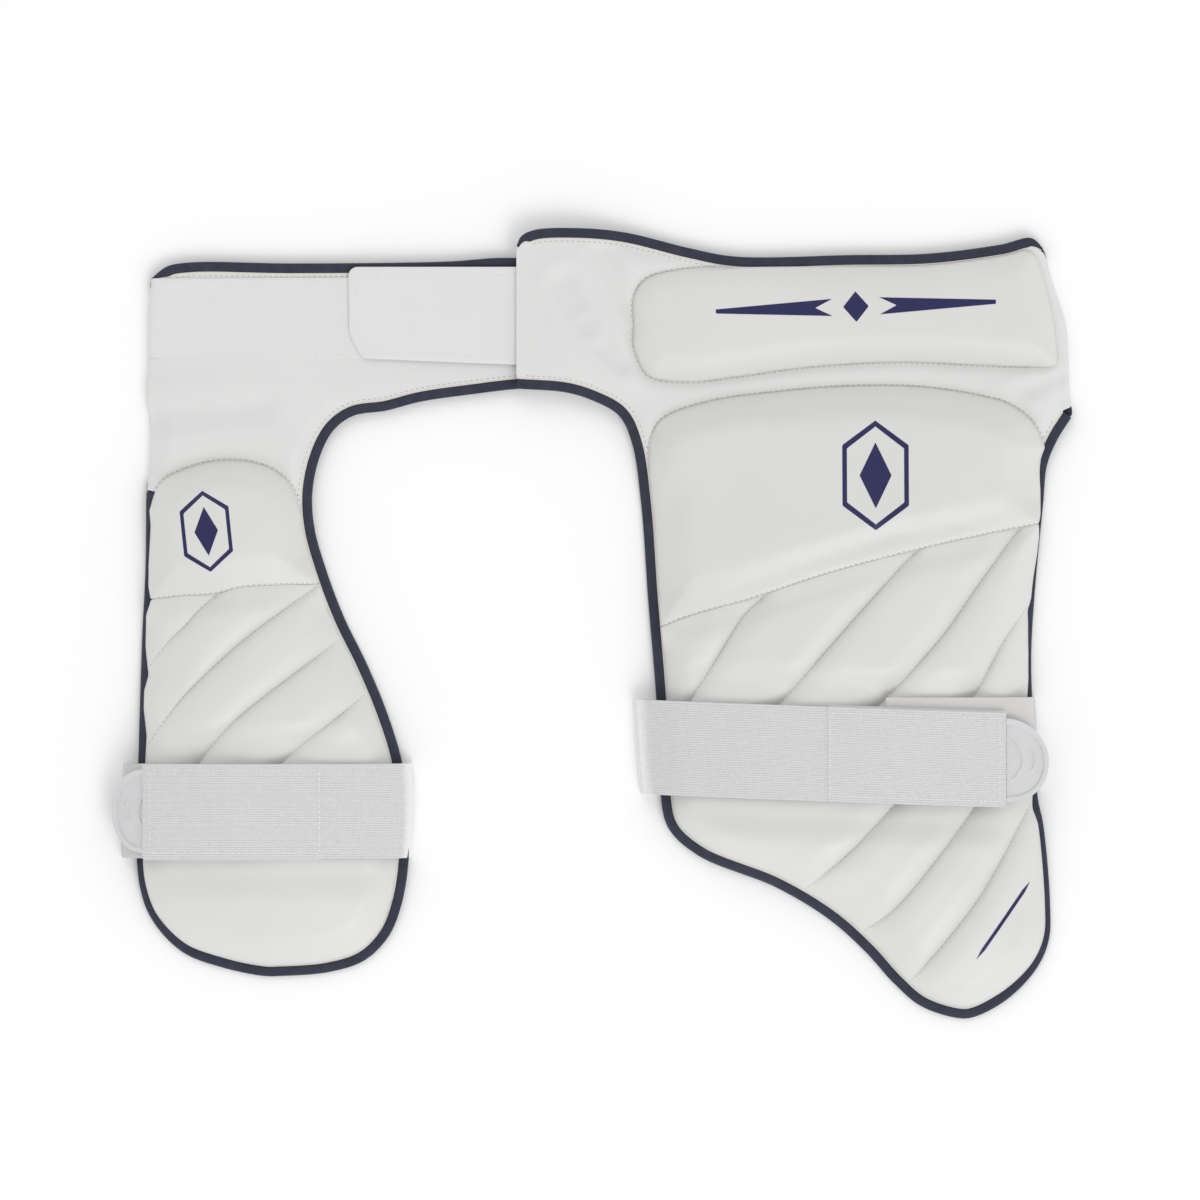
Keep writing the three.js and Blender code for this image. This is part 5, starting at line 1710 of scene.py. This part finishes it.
def pad_seams(guard):
    """Lines of stitches at the edges of the pads, just off the seams."""
    if guard is INNER:
        top, low = seam(INNER, INNER_BLOCK_TOP)[::-1], seam(INNER, INNER_BLOCK_LOW)[::-1]
        return [moved(top, TOP_STITCHES_OFF), moved(low, LOW_STITCHES_OFF)]
    hip = moved(line_of(OUTER, HIP_PAD_ROUND), TOP_STITCHES_OFF)
    on_front = np.flatnonzero(hip[:, 0] > place(OUTER, {"across": 1.0})[0])
    return [
        moved(seam(OUTER, OUTER_BLOCK_TOP), TOP_STITCHES_OFF),
        moved(seam(OUTER, OUTER_BLOCK_LOW), LOW_STITCHES_OFF),
        hip[: on_front[0]], hip[on_front[-1]:],
    ]


def strap_stitch_paths(guard):
    """The box of stitches round the elastic's doubled end."""
    surface = surface_of(bpy.data.objects[f"{guard.name}_elastic"])
    x0, x1 = double_start(guard) + 1.2, strap_end(guard) - 3
    half = STRAP_WIDTH / 2 - STRAP_STITCH_INSET

    def across(x):
        y = strap_middle(guard, x) + np.linspace(-half, half, 40)
        return np.column_stack([np.full(40, x), y])

    def along(offset):
        x = np.linspace(x0, x1, 90)
        return np.column_stack([x, strap_middle(guard, x) + offset])

    lines = [across(x0), across(x1), along(half), along(-half)]
    return [on_top(surface, line, guard.side) for line in lines]


def waist_stitch_paths():
    """Stitches round the hook tab and along both edges of the loop panel."""
    tab = surface_of(bpy.data.objects["hook_tab_cover"])
    inset = HOOK_TAB_STITCH_INSET
    x0, x1 = OUTER.wing_end - HOOK_TAB_REACH + inset, OUTER.wing_end
    y0, y1 = HOOK_TAB_ABOVE + inset, HOOK_TAB_ABOVE + HOOK_TAB_HEIGHT - inset
    corners = [(x1, y0), (x0, y0), (x0, mix(y0, y1, 0.3)), (x0, y1), (x1, y1)]
    paths = [on_top(tab, resampled(shaped_tab(np.array(corners))), 1)]
    panel = surface_of(bpy.data.objects["loop_panel_pile"])
    low = LOOP_PANEL_BOTTOM * INNER.waist + PANEL_STITCH_INSET
    high = LOOP_PANEL_TOP * INNER.waist - PANEL_STITCH_INSET
    end = float(x_at(INNER.turn_line, low)) - 4
    for y in (low, high):
        paths.append(on_top(panel, resampled(np.array([[-x0, y], [end, y]])), -1))
    return paths


def pieces_of(guard, *endings):
    return [o for o in bpy.data.objects if o.name.startswith(guard.name) and o.name.endswith(endings)]


def stitch_guard(guard):
    """Stitches on the pads, beside the tapes and on the strap, and the piping along the tapes."""
    name = guard.name
    surface = surface_of(*pieces_of(guard, "_cover", "base_fabric"))
    own = [plan for plan in pad_plans() if plan.guard is guard]
    lines = [line_of(guard, rib) for plan in own for rib in plan.ribs] + pad_seams(guard)
    stitched(f"{name}_pad_stitches", "leather", [on_top(surface, line, guard.side) for line in lines])
    edge, top = taped_edge(guard), guard.top_line[::-1]
    build_piping(f"{name}_edge_piping", guard, edge, BINDING_WIDTH)
    build_piping(f"{name}_top_piping", guard, top, top_tape_width(top))
    beside = [moved(line, TAPE_STITCH_INSET)[4:-4] for line in (edge, top)]
    runs = [run for line in beside for run in clear_runs(line, [plan.outline for plan in own])]
    stitched(f"{name}_tape_stitches", "fabric", [on_top(surface, run, guard.side) for run in runs])
    stitched(
        f"{name}_strap_stitches", "elastic", strap_stitch_paths(guard), "white_thread", 1.2, 1.9,
    )


def marks_of(guard):
    """Plain marks: a ring round a lozenge on each block, bars on the hip pad, a slim bar."""
    if guard is INNER:
        return [set_at(guard, {"across": 0.4, "drop": 0.243}, shape, -6)
                for shape in plain_badge(26, 43, 1.9)]
    slim = [(-25, 0), (-19, 0.9), (19, 0.9), (25, 0), (19, -0.9), (-19, -0.9)]
    return (
        [set_at(guard, {"across": 0.602, "drop": 0.1385}, s) for s in plain_badge(35, 58, 2.4)]
        + [set_at(guard, {"across": 0.553, "up": 0.508}, s, 2) for s in plain_bars(148, 9)]
        + [set_at(guard, {"across": 0.932, "drop": 0.843}, slim, 55)]
    )


# Sizes and colours that a user may change

def color_setting(name, description, default):
    return bpy.props.FloatVectorProperty(
        name=name, description=description, default=default, subtype="COLOR", min=0, max=1,
    )


def length_setting(name, description, default):
    return bpy.props.FloatProperty(
        name=name, description=description, default=default, min=0, unit="LENGTH",
        subtype="DISTANCE", precision=5,
    )


def power_setting(name, description, default):
    return bpy.props.FloatProperty(
        name=name, description=description, default=default, min=0, unit="POWER",
    )


class ThighGuardColors(bpy.types.PropertyGroup):
    leather: color_setting("Leather", "Synthetic leather of the pads", (0.686, 0.682, 0.668))
    fabric: color_setting("Fabric", "Fabric of the bases and the waist band", (0.71, 0.71, 0.704))
    binding: color_setting("Binding", "Folded tape round the edges", (0.035, 0.039, 0.064))
    piping: color_setting("Piping", "Thin light line inside the binding", (0.72, 0.69, 0.6))
    elastic: color_setting("Elastic", "Woven straps", (0.82, 0.82, 0.824))
    moulded: color_setting("Moulded tabs", "Pull tabs on the straps", (0.64, 0.642, 0.652))
    loop: color_setting("Loop panel", "Brushed loop panel on the waist", (0.72, 0.72, 0.718))
    strip: color_setting("Loop strips", "Brushed loop strips under the straps", (0.625, 0.612, 0.605))
    hook: color_setting("Hook tab", "Cover of the waist's hook tab", (0.725, 0.725, 0.728))
    # Partly the thread's own grey and partly painted shade of the stitch holes.
    thread: color_setting("Thread", "Stitching of the pads", (0.52, 0.51, 0.49))
    white_thread: color_setting("White thread", "Stitching of the straps", (0.85, 0.85, 0.85))
    mark: color_setting("Marks", "Printed marks on the pads", (0.022, 0.022, 0.095))


class ThighGuardSizes(bpy.types.PropertyGroup):
    leather_grain: length_setting("Leather grain", "Depth of the fine grain", 0.00003)
    rib_round: length_setting("Rib round", "How far from a channel a rib is full", 0.0135)
    rib_depth: bpy.props.FloatProperty(
        name="Rib depth", description="Share of the thickness that a channel takes",
        default=0.38, min=0, max=0.9, subtype="FACTOR",
    )
    stitch_pitch: length_setting("Stitch pitch", "From one stitch to the next", 0.0029)
    stitch_length: length_setting("Stitch length", "Visible length of a stitch", 0.0016)
    stitch_radius: length_setting("Stitch radius", "Half a stitch's thickness", 0.00021)
    binding_pucker: length_setting("Binding puckers", "Height of the tape's small puckers", 0.00012)
    elastic_rib_pitch: length_setting("Elastic rib pitch", "From rib to rib across a strap", 0.00125)
    tab_arc_height: length_setting("Tab arcs", "Height of the raised arcs on a tab", 0.0012)


class ThighGuardStage(bpy.types.PropertyGroup):
    sky_strength: bpy.props.FloatProperty(
        name="Sky strength", description="Light from all round", default=1.1, min=0,
    )
    sky_top: bpy.props.FloatProperty(
        name="Sky top", description="Brightness straight above as a share of the sides",
        default=0.6, min=0, max=2, subtype="FACTOR",
    )
    key_power: power_setting("Key light", "Power of the light from the wearer's feet", 102)
    fill_power: power_setting("Fill light", "Power of the light from the waist's side", 30)


class ThighGuardSettings(bpy.types.PropertyGroup):
    stage: bpy.props.PointerProperty(type=ThighGuardStage)
    colors: bpy.props.PointerProperty(type=ThighGuardColors)
    sizes: bpy.props.PointerProperty(type=ThighGuardSizes)


def settings():
    return bpy.context.scene.thigh_guard


# Operators

class THIGHGUARD_OT_bases(bpy.types.Operator):
    """Fabric bases of both guards"""

    bl_idname = "thigh_guard.bases"
    bl_label = "Bases"

    def execute(self, context):
        for guard in GUARDS:
            build_base(guard)
        return {"FINISHED"}


class THIGHGUARD_OT_bindings(bpy.types.Operator):
    """Folded dark tape along the edges of both guards"""

    bl_idname = "thigh_guard.bindings"
    bl_label = "Bindings"

    def execute(self, context):
        for guard in GUARDS:
            build_binding("edge", guard, taped_edge(guard))
            build_binding("top", guard, guard.top_line[::-1], top_tape_width)
        return {"FINISHED"}


class THIGHGUARD_OT_pads(bpy.types.Operator):
    """Leather pads with their sewn channels"""

    bl_idname = "thigh_guard.pads"
    bl_label = "Pads"

    def execute(self, context):
        for plan in pad_plans():
            build_pad(plan)
        return {"FINISHED"}


class THIGHGUARD_OT_straps(bpy.types.Operator):
    """Woven elastic straps and the loop strips that they close on"""

    bl_idname = "thigh_guard.straps"
    bl_label = "Straps"

    def execute(self, context):
        for guard in GUARDS:
            build_loop_patch(guard)
            build_strap(guard)
            build_hook_strip(guard)
        return {"FINISHED"}


class THIGHGUARD_OT_pull_tabs(bpy.types.Operator):
    """Moulded pull tabs on the ends of the straps"""

    bl_idname = "thigh_guard.pull_tabs"
    bl_label = "Pull tabs"

    def execute(self, context):
        for guard in GUARDS:
            build_pull_tab(guard)
        return {"FINISHED"}


class THIGHGUARD_OT_waist(bpy.types.Operator):
    """Loop panel, hook tab and the band behind both guards"""

    bl_idname = "thigh_guard.waist"
    bl_label = "Waist band"

    def execute(self, context):
        build_loop_panel()
        build_hook_tab()
        build_back_band()
        top, low = band_edges()
        build_band_binding("back_band_top_binding", top, 1)
        build_band_binding("back_band_bottom_binding", low, -1)
        return {"FINISHED"}


class THIGHGUARD_OT_stitching(bpy.types.Operator):
    """Stitch lines on pads, bindings, straps and hook tab"""

    bl_idname = "thigh_guard.stitching"
    bl_label = "Stitching"

    def execute(self, context):
        for guard in GUARDS:
            stitch_guard(guard)
        stitched("waist_stitches", "fabric", waist_stitch_paths(), "white_thread")
        return {"FINISHED"}


class THIGHGUARD_OT_marks(bpy.types.Operator):
    """Plain printed marks on the pads"""

    bl_idname = "thigh_guard.marks"
    bl_label = "Marks"

    def execute(self, context):
        for guard in GUARDS:
            surface = surface_of(*pieces_of(guard, "_cover"))
            printed(f"{guard.name}_marks", guard, marks_of(guard), surface)
        return {"FINISHED"}


class THIGHGUARD_OT_stage(bpy.types.Operator):
    """Pale floor, soft lights and the camera straight above"""

    bl_idname = "thigh_guard.stage"
    bl_label = "Stage"

    def execute(self, context):
        scene, stage = context.scene, settings().stage
        bpy.ops.mesh.primitive_plane_add(size=FLOOR_SIZE, location=(0, 0, FLOOR_LEVEL))
        floor = context.object
        floor.name = "floor"
        floor.data.materials.append(pale_floor())
        scene.world = studio_world(stage)
        scene.view_settings.view_transform = "Standard"
        for name, at, power in (
            ("key light", KEY_LIGHT_AT, stage.key_power),
            ("fill light", FILL_LIGHT_AT, stage.fill_power),
        ):
            data = bpy.data.lights.new(name, "AREA")
            data.size = LIGHT_SIZE
            data.energy = power
            light = bpy.data.objects.new(name, data)
            light.location = at
            light.rotation_euler = (-light.location).to_track_quat("-Z", "Y").to_euler()
            scene.collection.objects.link(light)
        data = bpy.data.cameras.new("camera")
        data.lens = LENS
        data.sensor_width = SENSOR_WIDTH
        data.sensor_fit = "AUTO"
        camera = bpy.data.objects.new("camera", data)
        camera.location = (*VIEW_CENTRE, VIEW_WIDTH * data.lens / data.sensor_width)
        scene.collection.objects.link(camera)
        scene.camera = camera
        return {"FINISHED"}


class THIGHGUARD_PT_panel(bpy.types.Panel):
    """Lists the steps and their settings in the sidebar"""

    bl_idname = "THIGHGUARD_PT_panel"
    bl_label = "Cricket thigh guard set"
    bl_space_type = "VIEW_3D"
    bl_region_type = "UI"
    bl_category = "Thigh guards"

    def draw(self, context):
        for operator in OPERATORS:
            self.layout.operator(operator.bl_idname)
        for group in (settings().sizes, settings().colors, settings().stage):
            for key in group.__annotations__:
                self.layout.prop(group, key)


OPERATORS = (
    THIGHGUARD_OT_bases,
    THIGHGUARD_OT_bindings,
    THIGHGUARD_OT_pads,
    THIGHGUARD_OT_straps,
    THIGHGUARD_OT_pull_tabs,
    THIGHGUARD_OT_waist,
    THIGHGUARD_OT_stitching,
    THIGHGUARD_OT_marks,
    THIGHGUARD_OT_stage,
)
CLASSES = (
    ThighGuardColors, ThighGuardSizes, ThighGuardStage, ThighGuardSettings, *OPERATORS,
    THIGHGUARD_PT_panel,
)


def register():
    for cls in CLASSES:
        bpy.utils.register_class(cls)
    bpy.types.Scene.thigh_guard = bpy.props.PointerProperty(type=ThighGuardSettings)


def unregister():
    del bpy.types.Scene.thigh_guard
    for cls in reversed(CLASSES):
        bpy.utils.unregister_class(cls)


def main():
    register()
    bpy.ops.thigh_guard.bases()
    bpy.ops.thigh_guard.bindings()
    bpy.ops.thigh_guard.pads()
    bpy.ops.thigh_guard.straps()
    bpy.ops.thigh_guard.pull_tabs()
    bpy.ops.thigh_guard.waist()
    bpy.ops.thigh_guard.stitching()
    bpy.ops.thigh_guard.marks()
    bpy.ops.thigh_guard.stage()


if __name__ == "__main__":
    main()
